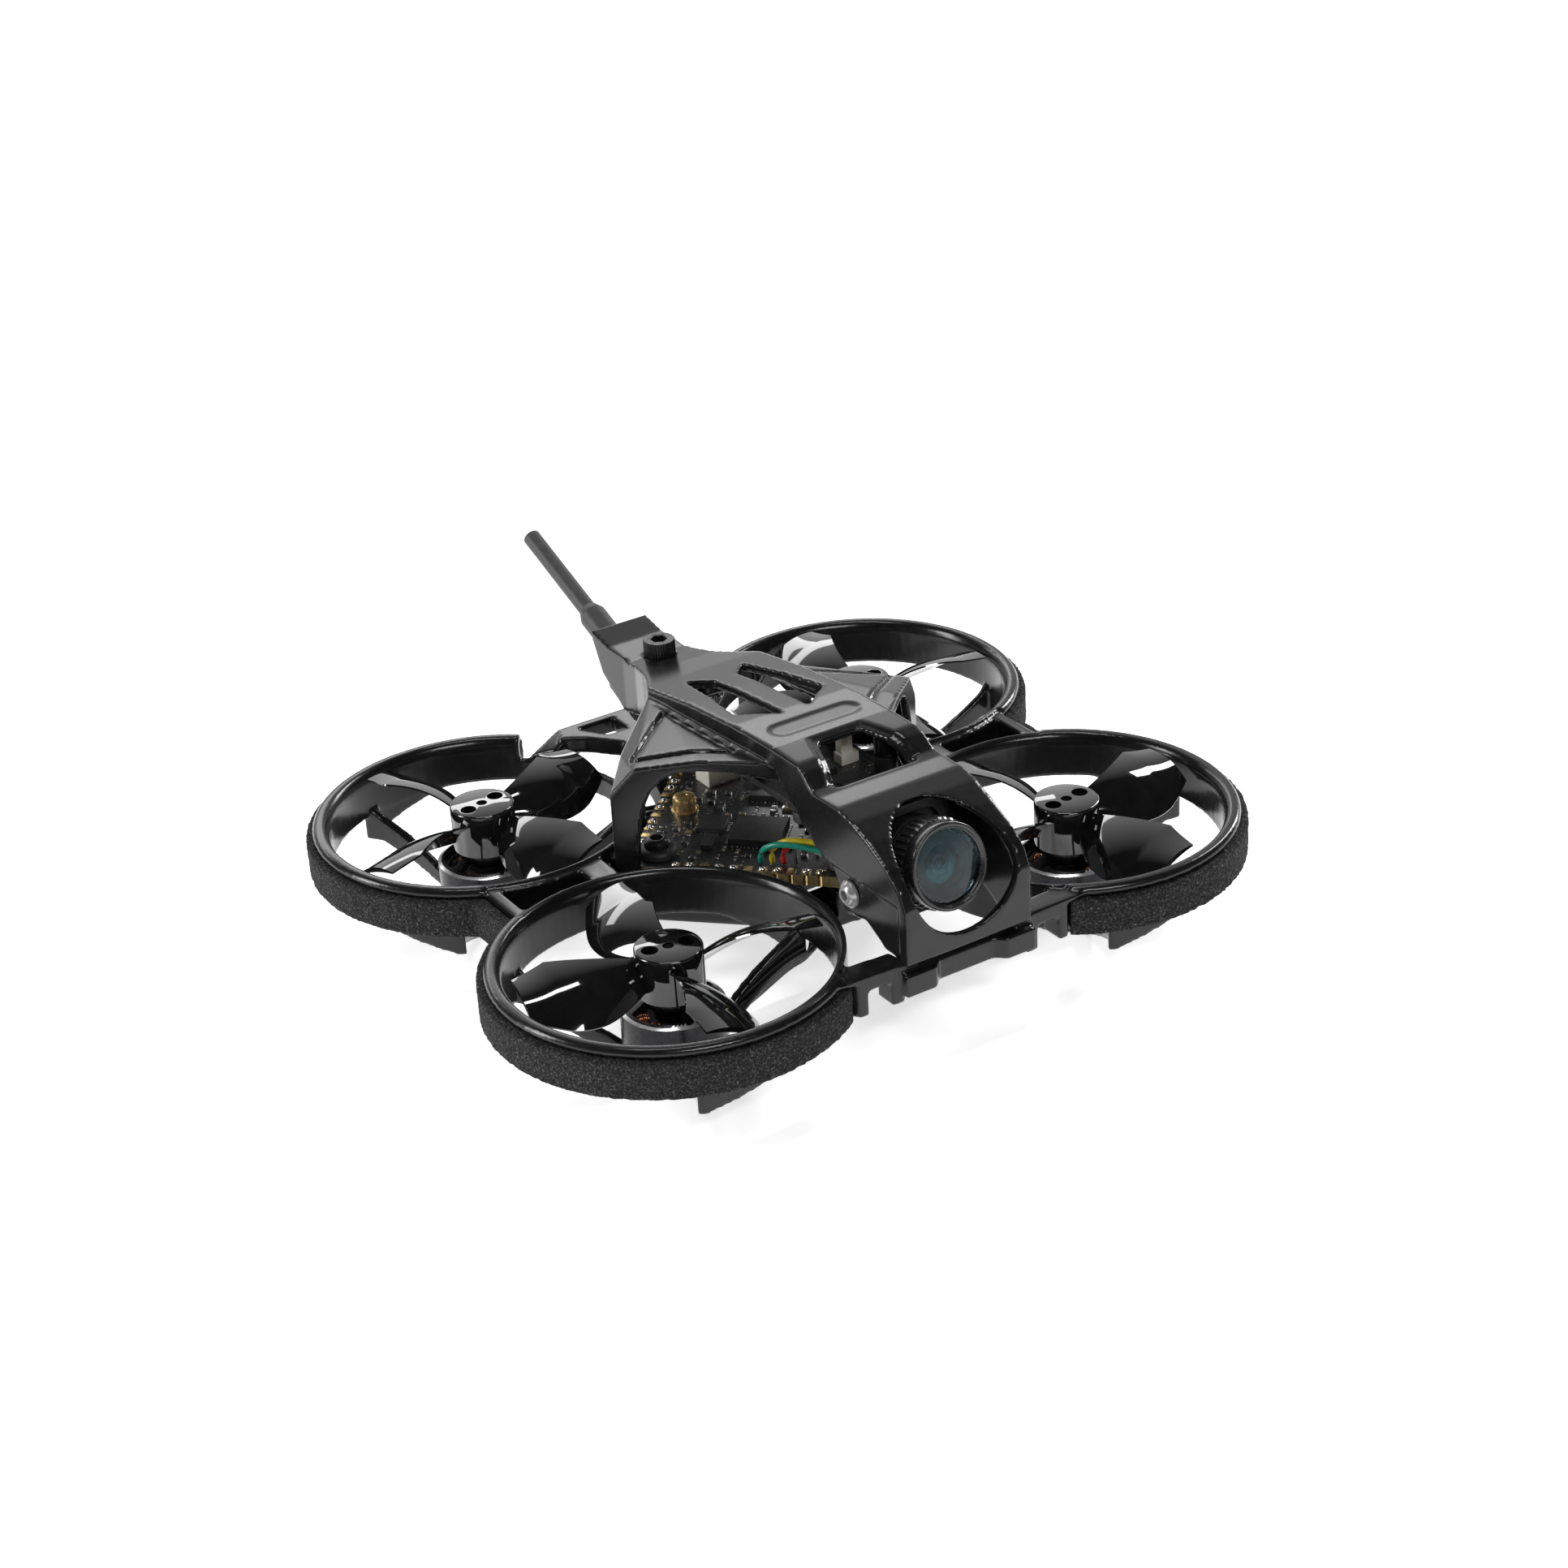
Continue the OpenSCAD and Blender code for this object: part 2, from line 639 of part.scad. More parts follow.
module video_dampers() {
    color([0.08, 0.08, 0.08]) for (side = [-1, 1]) for (y = [-18.6, -6.4]) translate([side * 6.3, y, 0]) {
        translate([0, 0, video_z - 1.5]) cylinder(r = 1.7, h = 1.5, $fn = 32);
        translate([0, 0, video_z - 1]) cylinder(r = 1, h = 3, $fn = 24);
        translate([0, 0, video_z + 1]) cylinder(r = 1.55, h = 2.9, $fn = 32);
        translate([0, 0, video_z + 1]) cylinder(r = 0.78, h = 5.4, $fn = 24);
    }
}

module white_socket() {
    color([0.9, 0.88, 0.84]) translate([2.9, -13.4, video_z + 1]) {
        cube([2.7, 1.9, 1.5]);
        translate([0.2, 0.2, 1.4]) cube([1.7, 1.5, 2.8]);
    }
}

module capacitor() {
    color([0.1, 0.1, 0.14]) translate([3, 15.4, 12.4]) rotate([0, 90, 0]) {
        cylinder(r = 2, h = 7.4, center = true, $fn = 32);
    }
}

// ---------------------------------------------------------------- leads and antenna

function unit(v) = v / norm(v);
// Point of a smooth curve through the points p, at t from 0 to len(p) - 1
function spline(p, t) = let (
    i = min(floor(t), len(p) - 2), u = t - i,
    a = p[max(i - 1, 0)], b = p[i], c = p[i + 1], d = p[min(i + 2, len(p) - 1)]
) 0.5 * (2 * b + (c - a) * u + (2 * a - 5 * b + 4 * c - d) * u * u + (3 * b - a - 3 * c + d) * u * u * u);
function tangent(p, t) = let (e = 0.01, m = len(p) - 1)
    unit(spline(p, min(t + e, m)) - spline(p, max(t - e, 0)));

// Points round a smooth curve through the points, ring by ring
function rings_along(points, r, rings, sides) = let (m = len(points) - 1) [for (i = [0:rings]) let (
    t = i * m / rings, d = tangent(points, t),
    u = unit(cross(d, abs(d[2]) > 0.9 ? [1, 0, 0] : [0, 0, 1])), v = cross(d, u)
) for (k = [0:sides - 1]) spline(points, t) + r * (cos(k * 360 / sides) * u + sin(k * 360 / sides) * v)];

// Round tubes along the routes, all in one piece of code because they share their rules
module tubes(routes, r, rings, sides = 8) {
    points = [for (route = routes) each rings_along(route, r, rings, sides)];
    faces = [for (n = [0:len(routes) - 1]) let (o = n * (rings + 1) * sides) each concat(
        [for (i = [0:rings - 1]) for (k = [0:sides - 1]) let (j = (k + 1) % sides)
            [for (q = [k, j, sides + j, sides + k]) o + i * sides + q]],
        [[for (k = [sides - 1:-1:0]) o + k], [for (k = [0:sides - 1]) o + rings * sides + k]]
    )];
    polyhedron(points = points, faces = faces, convexity = 8);
}

camera_lead_r = 0.45;
// Route of the first camera lead, from the flight board to the back of the camera
camera_route = [[-8.6, -10.6, 7.6], [-9, -11.4, 9.6], [-8.2, -13.4, 11.2], [-6.2, -16, 11.4],
                [-4.2, -19, 11.2], [-2.6, -22.4, 11.2], [-2.2, -25.2, 11.4]];

module camera_leads() {
    color([0.8, 0.7, 0.15]) tubes([for (i = [0:3]) [for (k = [0:len(camera_route) - 1])
        let (s = k / (len(camera_route) - 1))
        camera_route[k] + i * [1.1 + 0.2 * s, -1.1 * (1 - s), 0] + [0, 0, (i % 2) * 0.5 * sin(180 * s)]
    ]], camera_lead_r, 18);
}

motor_lead_r = 0.4;
// First of a motor's three leads about the motor's own axis, for the right ducts and the left ones
lead_routes = [
    [[6.2, -0.3, -4.7], [8, 0.56, -4.6], [13.38, 1.83, -3.7], [18.39, 2.1, -1.6], [21.35, 1.84, -0.7],
     [23.3, 3.6, 0.6], [24.2, 6.2, 2.6], [23.6, 8.9, 4.6], [22.8, 10.3, 5.45]],
    [[-2.85, 5.52, -4.7], [-4.49, 6.65, -4.6], [-8.28, 10.67, -3.7], [-11.03, 14.87, -1.6],
     [-12.27, 17.57, -0.7], [-13.4, 18.5, 0.7], [-15, 18.2, 2.8], [-16.5, 17, 4.6], [-17.4, 16, 5.45]]
];
// Step from each lead to the next at those points
lead_steps = [
    [[-0.1, -0.9, 0], [-0.05, -0.8, 0.2], [0.06, -0.45, 0.78], [0.06, -0.45, 0.78], [0.1, -0.6, 0.7],
     [0.6, -0.3, 0.6], [0.85, 0, 0.3], [0.85, -0.3, 0.1], [0.7, -0.7, 0]],
    [[0.8, 0.3, 0], [0.64, 0.45, 0.2], [0.36, 0.28, 0.78], [0.36, 0.28, 0.78], [0.47, 0.37, 0.7],
     [0.55, 0.55, 0.4], [0.6, 0.6, 0.2], [0.65, 0.65, 0], [0.65, 0.65, 0]]
];

module motor_leads() {
    color([0.08, 0.08, 0.08]) tubes([for (side = [-1, 1]) for (end = [-1, 1]) for (i = [0:2])
        let (route = lead_routes[(side + 1) / 2], step = lead_steps[(side + 1) / 2])
        [for (k = [0:len(route) - 1]) let (p = route[k] + i * step[k])
            [side * mx + p[0], end * (my - p[1]), p[2]]]
    ], motor_lead_r, 20);
}

antenna_slope = 22;
// Start of the antenna inside the tail
antenna_start = [0, 30.2, 14.3];
collar_l = 18.4;
antenna_l = 35.4;

module along_antenna() {
    translate(antenna_start) rotate([antenna_slope - 90, 0, 0]) children();
}

module antenna_tube() {
    color([0.13, 0.13, 0.14]) along_antenna() translate([0, 0, collar_l - 3]) {
        cylinder(r = 1.3, h = antenna_l - collar_l + 3, $fn = 32);
    }
}

module antenna_collar() {
    color([0.1, 0.1, 0.11]) along_antenna() difference() {
        union() {
            cylinder(r = 2, h = collar_l - 1.4, $fn = 32);
            translate([0, 0, collar_l - 1.4]) cylinder(r1 = 2, r2 = 1.45, h = 1.4, $fn = 32);
        }
        translate([0, 0, collar_l - 3]) cylinder(r = 1.3, h = 4, $fn = 32);
    }
}

antenna_lead_route = [[0.3, 29.9, 14.1], [2.4, 29, 13.4], [3.2, 26.6, 13], [2.8, 22, 13.4], [1.6, 15, 15],
                      [0.6, 6, 17.4], [0.4, 0, 18.6], [0.4, -4.4, 19.6]];

module antenna_lead() {
    color([0.1, 0.1, 0.1]) tubes([antenna_lead_route], 0.55, 20);
}

// ---------------------------------------------------------------- motors

// Copies its children to the four motors
module at_motors() {
    for (side = [-1, 1]) for (end = [-1, 1]) translate([side * mx, end * my, 0]) children();
}

stator_top = -0.2;
stator_bottom = -3.2;
tube_r = 2.6;

module motor_bases() {
    color([0.12, 0.12, 0.13]) at_motors() difference() {
        union() {
            translate([0, 0, mount_top]) cylinder(r = 6.4, h = bell_bottom - 0.25 - mount_top, $fn = fine);
            translate([0, 0, mount_top]) cylinder(r = tube_r, h = 6.1, $fn = 48);
        }
        translate([0, 0, mount_top - 1]) cylinder(r = 1.1, h = 9, $fn = 32);
        translate([0, 0, mount_top + 0.3]) cylinder(r = 2, h = 9, $fn = 32);
        for (a = [0:120:240]) rotate(a)
            translate([motor_pcd / 2, 0, mount_top - 1]) cylinder(r = 0.66, h = 2.2, $fn = 24);
    }
}

module motor_bearings() {
    color([0.75, 0.75, 0.77]) at_motors() for (z = [mount_top + 0.3, -0.7])
        translate([0, 0, z]) difference() {
            cylinder(r = 2, h = 1.2, $fn = 32);
            translate([0, 0, -1]) cylinder(r = shaft_r + 0.03, h = 4, $fn = 32);
        }
}

module stator_cores() {
    color([0.2, 0.2, 0.22]) at_motors() translate([0, 0, stator_bottom])
        linear_extrude(stator_top - stator_bottom) difference() {
            circle(r = 5.3, $fn = fine);
            circle(r = tube_r, $fn = 48);
            for (a = [0:40:320]) rotate(a + 20) translate([3.5, -0.55]) square([3, 1.1]);
            for (a = [0:40:320]) rotate(a + 20) translate([3.4, -0.95]) square([1.3, 1.9]);
        }
}

// Copper coils, which wrap each tooth above and below the core
module stator_windings() {
    color([0.62, 0.3, 0.14]) at_motors() for (z = [stator_bottom - 0.6, stator_top]) translate([0, 0, z])
        for (a = [0:40:320]) rotate(a) translate([2.9, -0.8, 0]) cube([2.1, 1.6, 0.6]);
}

module motor_screws() {
    color([0.55, 0.55, 0.57]) at_motors() for (a = [0:120:240]) rotate(a) translate([motor_pcd / 2, 0, 0]) {
        translate([0, 0, mount_bottom + 0.08]) cylinder(r = 1.2, h = 0.67, $fn = 24);
        translate([0, 0, mount_bottom + 0.7]) cylinder(r = 0.65, h = 2, $fn = 24);
    }
}

// ---------------------------------------------------------------- rotors

module bell() {
    color([0.1, 0.1, 0.11]) difference() {
        rotate_extrude($fn = fine) polygon([
            [6.1, bell_bottom], [bell_r, bell_bottom], [bell_r, bell_shoulder], [6.3, bell_shoulder + 0.2],
            [3.6, hub_bottom - 0.1], [shaft_r, hub_bottom - 0.1], [shaft_r, hub_bottom - 1.2],
            [3, hub_bottom - 1.2], [5.6, 0.9], [6.1, 0.7]
        ]);
        // windows in the sloping top
        for (a = [0:90:270]) rotate(a) translate([0, 0, -1]) linear_extrude(5) intersection() {
            difference() {
                circle(r = 5.9, $fn = 48);
                circle(r = 3.5, $fn = 48);
            }
            slice(7, 83, 9);
        }
        for (side = [-1, 1]) translate([side * 2.5, 0, 0]) cylinder(r = 0.65, h = 5, $fn = 24);
    }
}

module magnets() {
    color([0.6, 0.6, 0.62]) for (a = [0:30:330]) rotate(a) translate([0, 0, -3.5]) linear_extrude(3.8)
        intersection() {
            difference() {
                circle(r = 6.08, $fn = fine);
                circle(r = 5.5, $fn = fine);
            }
            slice(-13, 13, 9);
        }
}

module shaft() {
    color([0.8, 0.8, 0.82]) {
        translate([0, 0, -6.2]) cylinder(r = shaft_r, h = 14.6, $fn = 32);
        translate([0, 0, -5.95]) cylinder(r = 1.3, h = 0.4, $fn = 32);
    }
}

module prop_screws() {
    color([0.12, 0.12, 0.13]) for (side = [-1, 1]) translate([side * 2.5, 0, 0]) {
        translate([0, 0, 2.1]) cylinder(r = 0.64, h = 4.2, $fn = 24);
        translate([0, 0, 6.1]) cylinder(r = 1, h = 0.9, $fn = 24);
    }
}

// Blade rules: s runs from the root at 0 to the tip at 1
blade_root = 3.9;
function blade_reach(s) = blade_root + (prop_r - blade_root) * s;
// Where the leading edge bends back towards the tip, and how much it is cut back there
blade_bend = 5 / 7;
function blade_cut(s) = 3.2 * max(0, s - blade_bend) / (1 - blade_bend);
function blade_chord(s) = 4.5 + 6 * sin(90 * min(1, s / blade_bend)) - blade_cut(s);
function blade_pitch(s) = 46 - 26 * s;
function blade_sweep(s) = -1.8 * sin(180 * s) + 1.4 * s * s - blade_cut(s) / 2;
function blade_lift(s) = 6.3 + 0.9 * s;
blade_t = 0.7;

blade_stations = 7;
blade_ribs = 6;

// One blade as a bowed sheet of even thickness, its leading edge towards +y
module blade() {
    surface_point = function (s, c, half) let (
        chord = blade_chord(s), a = blade_pitch(s), w = (c - 0.5) * chord,
        bow = 0.09 * chord * (1 - pow(2 * c - 1, 2)), thick = half * blade_t * (1 - 0.65 * pow(2 * c - 1, 2))
    ) [blade_reach(s), blade_sweep(s) + w * cos(a) - (bow + thick) * sin(a),
       blade_lift(s) + w * sin(a) + (bow + thick) * cos(a)];
    ring = [for (i = [0:blade_stations]) let (s = i / blade_stations) concat(
        [for (j = [0:blade_ribs]) surface_point(s, j / blade_ribs, 0.5)],
        [for (j = [blade_ribs:-1:0]) surface_point(s, j / blade_ribs, -0.5)])];
    n = 2 * (blade_ribs + 1);
    last = blade_stations * n;
    points = [for (r = ring) for (p = r) p];
    sides = [for (i = [0:blade_stations - 1]) for (j = [0:n - 1])
        let (k = (j + 1) % n, a = i * n + k, b = i * n + n + k, c = i * n + n + j, d = i * n + j)
        each [[a, b, c], [a, c, d]]];
    caps = [for (j = [0:blade_ribs - 1]) let (k = n - 1 - j)
        each [
            [k, k - 1, j + 1], [k, j + 1, j],
            [last + j, last + j + 1, last + k - 1], [last + j, last + k - 1, last + k]
        ]];
    polyhedron(points = points, faces = concat(sides, caps), convexity = 4);
}

module propeller() {
    color([0.03, 0.03, 0.03]) difference() {
        union() {
            translate([0, 0, hub_bottom]) cylinder(r = hub_r, h = hub_top - hub_bottom, $fn = fine);
            for (i = [0:blade_count - 1]) rotate(i * 360 / blade_count) blade();
        }
        translate([0, 0, hub_bottom - 1]) cylinder(r = shaft_r, h = 12, $fn = 32);
        for (side = [-1, 1]) translate([side * 2.5, 0, hub_bottom - 1]) {
            cylinder(r = 0.68, h = 12, $fn = 24);
            translate([0, 0, 4.1]) cylinder(r = 1.1, h = 12, $fn = 32);
        }
    }
}

// Angle of each rotor's first blade, and the two corners whose rotors turn the other way
module at_rotor(side, end, angle) {
    translate([side * mx, end * my, 0]) rotate(angle) mirror([0, side * end == 1 ? 1 : 0, 0]) children();
}
module rotor_front_right() { at_rotor(-1, -1, -9) children(); }
module rotor_front_left() { at_rotor(1, -1, 8) children(); }
module rotor_rear_right() { at_rotor(-1, 1, 16) children(); }
module rotor_rear_left() { at_rotor(1, 1, -4) children(); }

module propeller_front_right() { rotor_front_right() propeller(); }
module bell_front_right() { rotor_front_right() bell(); }
module magnets_front_right() { rotor_front_right() magnets(); }
module shaft_front_right() { rotor_front_right() shaft(); }
module prop_screws_front_right() { rotor_front_right() prop_screws(); }
module propeller_front_left() { rotor_front_left() propeller(); }
module bell_front_left() { rotor_front_left() bell(); }
module magnets_front_left() { rotor_front_left() magnets(); }
module shaft_front_left() { rotor_front_left() shaft(); }
module prop_screws_front_left() { rotor_front_left() prop_screws(); }
module propeller_rear_right() { rotor_rear_right() propeller(); }
module bell_rear_right() { rotor_rear_right() bell(); }
module magnets_rear_right() { rotor_rear_right() magnets(); }
module shaft_rear_right() { rotor_rear_right() shaft(); }
module prop_screws_rear_right() { rotor_rear_right() prop_screws(); }
module propeller_rear_left() { rotor_rear_left() propeller(); }
module bell_rear_left() { rotor_rear_left() bell(); }
module magnets_rear_left() { rotor_rear_left() magnets(); }
module shaft_rear_left() { rotor_rear_left() shaft(); }
module prop_screws_rear_left() { rotor_rear_left() prop_screws(); }

// ---------------------------------------------------------------- camera

case_front = -1.5;
case_back = 6.3;
// Back of the bezel, and outer radius of the focus ring behind it
bezel_back = -7.3;
ring_r = 5.9;

// Cylinder along the lens axis, from its front face forwards to back, in the camera's axes
module lens_cylinder(r, front, back, sides = 64) {
    translate([0, back, lens_z]) rotate([90, 0, 0]) cylinder(r = r, h = back - front, $fn = sides);
}

// Rectangle with round corners, about the lens axis
module rounded_plate(w, h, r) {
    square([w - 2 * r, h], center = true);
    square([w, h - 2 * r], center = true);
    for (x = [-1, 1]) for (y = [-1, 1])
        translate([x * (w / 2 - r), y * (h / 2 - r)]) circle(r = r, $fn = 32);
}

// Plate with round corners across the lens axis, from its front face to its back
module lens_plate(w, h, r, front, back) {
    translate([0, back, lens_z]) rotate([90, 0, 0]) linear_extrude(back - front) rounded_plate(w, h, r);
}

module camera_case() {
    color([0.08, 0.08, 0.085]) camera_axes() difference() {
        union() {
            lens_plate(camera_w, camera_w, 1.6, 0.2, case_back);
            lens_plate(camera_w - 2.6, camera_w, 2.8, case_front, 0.3);
            lens_cylinder(5.6, -3.2, 0.3);
            rotate([0, 90, 0]) cylinder(r = 2.1, h = camera_w + 1.5, center = true, $fn = 48);
        }
        // recess in the front face, round the lens holder
        difference() {
            lens_plate(camera_w - 4.8, camera_w - 2.2, 1.9, case_front - 1, -0.4);
            lens_cylinder(5.6, -4, 0.3);
        }
        lens_cylinder(5.27, -5, 3);
        translate([-5.8, 3, lens_z - 5.8]) cube([11.6, 5, 11.6]);
        for (side = [-1, 1]) translate([side * 6, 0, 0])
            rotate([0, side * 90, 0]) cylinder(r = 1, h = 3, $fn = 32);
    }
}

module camera_board() {
    color([0.05, 0.12, 0.09]) camera_axes() {
        translate([-5.75, 4.4, lens_z - 5.75]) cube([11.5, 1, 11.5]);
        translate([-3, 5.4, lens_z - 5.2]) cube([6, 1.6, 2.4]);
    }
}

module image_sensor() {
    color([0.15, 0.17, 0.22]) camera_axes() translate([-2.6, 3.5, lens_z - 2.2]) cube([5.2, 0.9, 4.4]);
}

module camera_screws() {
    color([0.72, 0.72, 0.74]) translate([0, camera_y, camera_z]) for (side = [-1, 1])
        rotate([0, side * 90, 0]) difference() {
            union() {
                translate([0, 0, 6.1]) cylinder(r = 1, h = 3.4, $fn = 32);
                translate([0, 0, 9.3]) cylinder(r = 1.8, h = 0.5, $fn = 48);
                translate([0, 0, 9.8]) cylinder(r1 = 1.8, r2 = 1.1, h = 0.6, $fn = 48);
            }
            translate([0, 0, 9.7]) cylinder(r = 0.75, h = 2, $fn = 6);
        }
}

module lens_barrel() {
    color([0.07, 0.07, 0.075]) camera_axes() difference() {
        lens_cylinder(5.2, -8, 1.8);
        lens_cylinder(4.2, -9, -6.4);
        lens_cylinder(3, -7, 3);
    }
}

module focus_ring() {
    color([0.06, 0.06, 0.06]) camera_axes() difference() {
        lens_cylinder(ring_r, bezel_back + 0.1, -4.4, 72);
        lens_cylinder(5.2, -9, -3);
        for (a = [0:12:348]) translate([0, 0, lens_z]) rotate([0, a, 0]) translate([ring_r + 0.05, -9, 0])
            rotate([-90, 0, 0]) cylinder(r = 0.22, h = 6, $fn = 8);
    }
}

module lens_bezel() {
    color([0.05, 0.05, 0.055]) camera_axes() difference() {
        lens_cylinder(5.64, lens_front, bezel_back, 72);
        lens_cylinder(4.76, lens_front - 1, -8, 72);
        lens_cylinder(5.2, -8, -6, 72);
    }
}

// Turned glass about the lens axis, its outline given as [radius, distance along the axis]
module turned_glass(outline) {
    camera_axes() translate([0, 0, lens_z]) rotate([-90, 0, 0]) rotate_extrude($fn = fine) polygon(outline);
}

function dome(r, front, sag) = [for (i = [0:8]) [r * i / 8, front + sag * pow(i / 8, 2)]];

module front_glass() {
    color([0.1, 0.14, 0.18]) turned_glass(concat(dome(4.74, lens_front + 0.1, 0.55), [[4.74, -8], [0, -8]]));
}

module inner_lens() {
    color([0.12, 0.2, 0.22]) turned_glass(concat(dome(2.98, -6.5, 0.9), [[2.98, -4.6], [0, -4.6]]));
}

frame();
foam_left();
foam_right();
canopy();
tail_pad();
tail_standoff();
tail_screws();
flight_board();
board_chips();
crystal_can();
board_sockets();
usb_port();
board_grommets();
board_screws();
video_board();
video_parts();
video_dampers();
white_socket();
capacitor();
camera_leads();
motor_leads();
antenna_tube();
antenna_collar();
antenna_lead();
motor_bases();
motor_bearings();
stator_cores();
stator_windings();
motor_screws();
camera_case();
camera_board();
image_sensor();
camera_screws();
lens_barrel();
focus_ring();
lens_bezel();
front_glass();
inner_lens();
propeller_front_right();
bell_front_right();
magnets_front_right();
shaft_front_right();
prop_screws_front_right();
propeller_front_left();
bell_front_left();
magnets_front_left();
shaft_front_left();
prop_screws_front_left();
propeller_rear_right();
bell_rear_right();
magnets_rear_right();
shaft_rear_right();
prop_screws_rear_right();
propeller_rear_left();
bell_rear_left();
magnets_rear_left();
shaft_rear_left();
prop_screws_rear_left();
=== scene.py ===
# The looks of the mini palm drone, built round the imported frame.
import math
import random

import bmesh
import bpy
from mathutils import Matrix, Vector, noise


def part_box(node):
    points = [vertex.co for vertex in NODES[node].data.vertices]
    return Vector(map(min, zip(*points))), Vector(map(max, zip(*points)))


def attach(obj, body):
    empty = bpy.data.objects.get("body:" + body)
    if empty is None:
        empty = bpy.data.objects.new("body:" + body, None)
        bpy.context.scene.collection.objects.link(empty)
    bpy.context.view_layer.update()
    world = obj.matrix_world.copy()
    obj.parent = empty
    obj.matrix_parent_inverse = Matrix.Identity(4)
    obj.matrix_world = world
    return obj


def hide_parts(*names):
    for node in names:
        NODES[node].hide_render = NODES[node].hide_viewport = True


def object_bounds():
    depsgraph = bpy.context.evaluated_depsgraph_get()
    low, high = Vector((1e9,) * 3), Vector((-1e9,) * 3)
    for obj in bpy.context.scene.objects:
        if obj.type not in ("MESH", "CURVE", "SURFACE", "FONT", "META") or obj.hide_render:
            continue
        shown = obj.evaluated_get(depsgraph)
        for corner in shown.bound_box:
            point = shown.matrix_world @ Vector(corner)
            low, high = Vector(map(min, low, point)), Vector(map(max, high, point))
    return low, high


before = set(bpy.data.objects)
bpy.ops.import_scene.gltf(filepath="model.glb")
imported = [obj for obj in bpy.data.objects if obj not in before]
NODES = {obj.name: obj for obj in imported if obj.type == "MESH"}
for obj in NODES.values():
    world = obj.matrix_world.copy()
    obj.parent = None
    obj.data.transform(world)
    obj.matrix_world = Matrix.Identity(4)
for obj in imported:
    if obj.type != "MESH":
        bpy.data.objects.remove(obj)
CAD_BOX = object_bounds()
MM = 0.001

# Each rotor's corner: its side, its end, and the angle of its first blade
CORNERS = {
    "front_right": (-1, -1, -9),
    "front_left": (1, -1, 8),
    "rear_right": (-1, 1, 16),
    "rear_left": (1, 1, -4),
}
AIRFRAME = "airframe"
CAMERA = "camera"


# ---------------------------------------------------------------- camera, floor and light

CAMERA_PLACE = Vector((-191.27, -312.70, 200.75)) * MM
CAMERA_AZIMUTH = math.radians(-31.74)
CAMERA_ELEVATION = math.radians(27.26)
CAMERA_ROLL = math.radians(-3.35)
CAMERA_LENS = 70.63
SENSOR_WIDTH = 36
NEAR, FAR = 0.02, 20


def grey(value, tint=0.0):
    return (value, value, value * (1 + tint))


def link(obj):
    bpy.context.scene.collection.objects.link(obj)
    return obj


def turned(right, up, back, place):
    """Matrix of a thing whose own x, y and z axes are right, up and back."""
    matrix = Matrix((right, up, back)).transposed().to_4x4()
    matrix.translation = place
    return matrix


def add_camera():
    data = bpy.data.cameras.new("view")
    data.lens = CAMERA_LENS
    data.sensor_width = SENSOR_WIDTH
    data.clip_start, data.clip_end = NEAR, FAR
    level = math.cos(CAMERA_ELEVATION)
    back = Vector((math.sin(CAMERA_AZIMUTH) * level, -math.cos(CAMERA_AZIMUTH) * level,
                   math.sin(CAMERA_ELEVATION)))
    right = Vector((0, 0, 1)).cross(back).normalized()
    up = back.cross(right)
    c, s = math.cos(CAMERA_ROLL), math.sin(CAMERA_ROLL)
    camera = link(bpy.data.objects.new("view", data))
    camera.matrix_world = turned(c * right + s * up, c * up - s * right, back, CAMERA_PLACE)
    bpy.context.scene.camera = camera


def add_softbox(name, place, target, size, power):
    data = bpy.data.lights.new(name, "AREA")
    data.shape = "RECTANGLE"
    data.size, data.size_y = size
    data.energy = power
    light = link(bpy.data.objects.new(name, data))
    light.location = place
    light.rotation_euler = (Vector(target) - Vector(place)).to_track_quat("-Z", "Y").to_euler()


# Where the studio is brightest, seen from the drone, and how near to it the white starts and is full
BRIGHT_SIDE = Vector((0.35, 0.85, 0.38)).normalized()
BRIGHT_START, BRIGHT_FULL = 0.62, 0.99
# How high above the floor the white band round the studio ends, and where it is full
BAND_START, BAND_FULL = 0.2, 0.0
DARK_SIDE = 0.024
STUDIO_STRENGTH = 0.9


def add_world():
    """White behind the drone and low all round, nearly black above and on the viewer's side."""
    world = bpy.data.worlds.new("studio")
    bpy.context.scene.world = world
    world.use_nodes = True
    tree = world.node_tree
    background = tree.nodes["Background"]
    spot = tree.nodes.new("ShaderNodeTexCoord")
    along = tree.nodes.new("ShaderNodeVectorMath")
    along.operation = "DOT_PRODUCT"
    along.inputs[1].default_value = BRIGHT_SIDE
    split = tree.nodes.new("ShaderNodeSeparateXYZ")
    tree.links.new(spot.outputs["Generated"], along.inputs[0])
    tree.links.new(spot.outputs["Generated"], split.inputs[0])
    both = tree.nodes.new("ShaderNodeMath")
    both.operation = "MAXIMUM"
    fades = [(along.outputs["Value"], BRIGHT_START, BRIGHT_FULL),
             (split.outputs["Z"], BAND_START, BAND_FULL)]
    for i, (source, start, end) in enumerate(fades):
        fade = tree.nodes.new("ShaderNodeMapRange")
        fade.inputs["From Min"].default_value = start
        fade.inputs["From Max"].default_value = end
        tree.links.new(source, fade.inputs["Value"])
        tree.links.new(fade.outputs["Result"], both.inputs[i])
    ramp = tree.nodes.new("ShaderNodeValToRGB")
    ramp.color_ramp.elements[0].color = (*grey(DARK_SIDE), 1)
    ramp.color_ramp.elements[1].color = (1, 1, 1, 1)
    tree.links.new(both.outputs["Value"], ramp.inputs["Fac"])
    tree.links.new(ramp.outputs["Color"], background.inputs["Color"])
    background.inputs["Strength"].default_value = STUDIO_STRENGTH


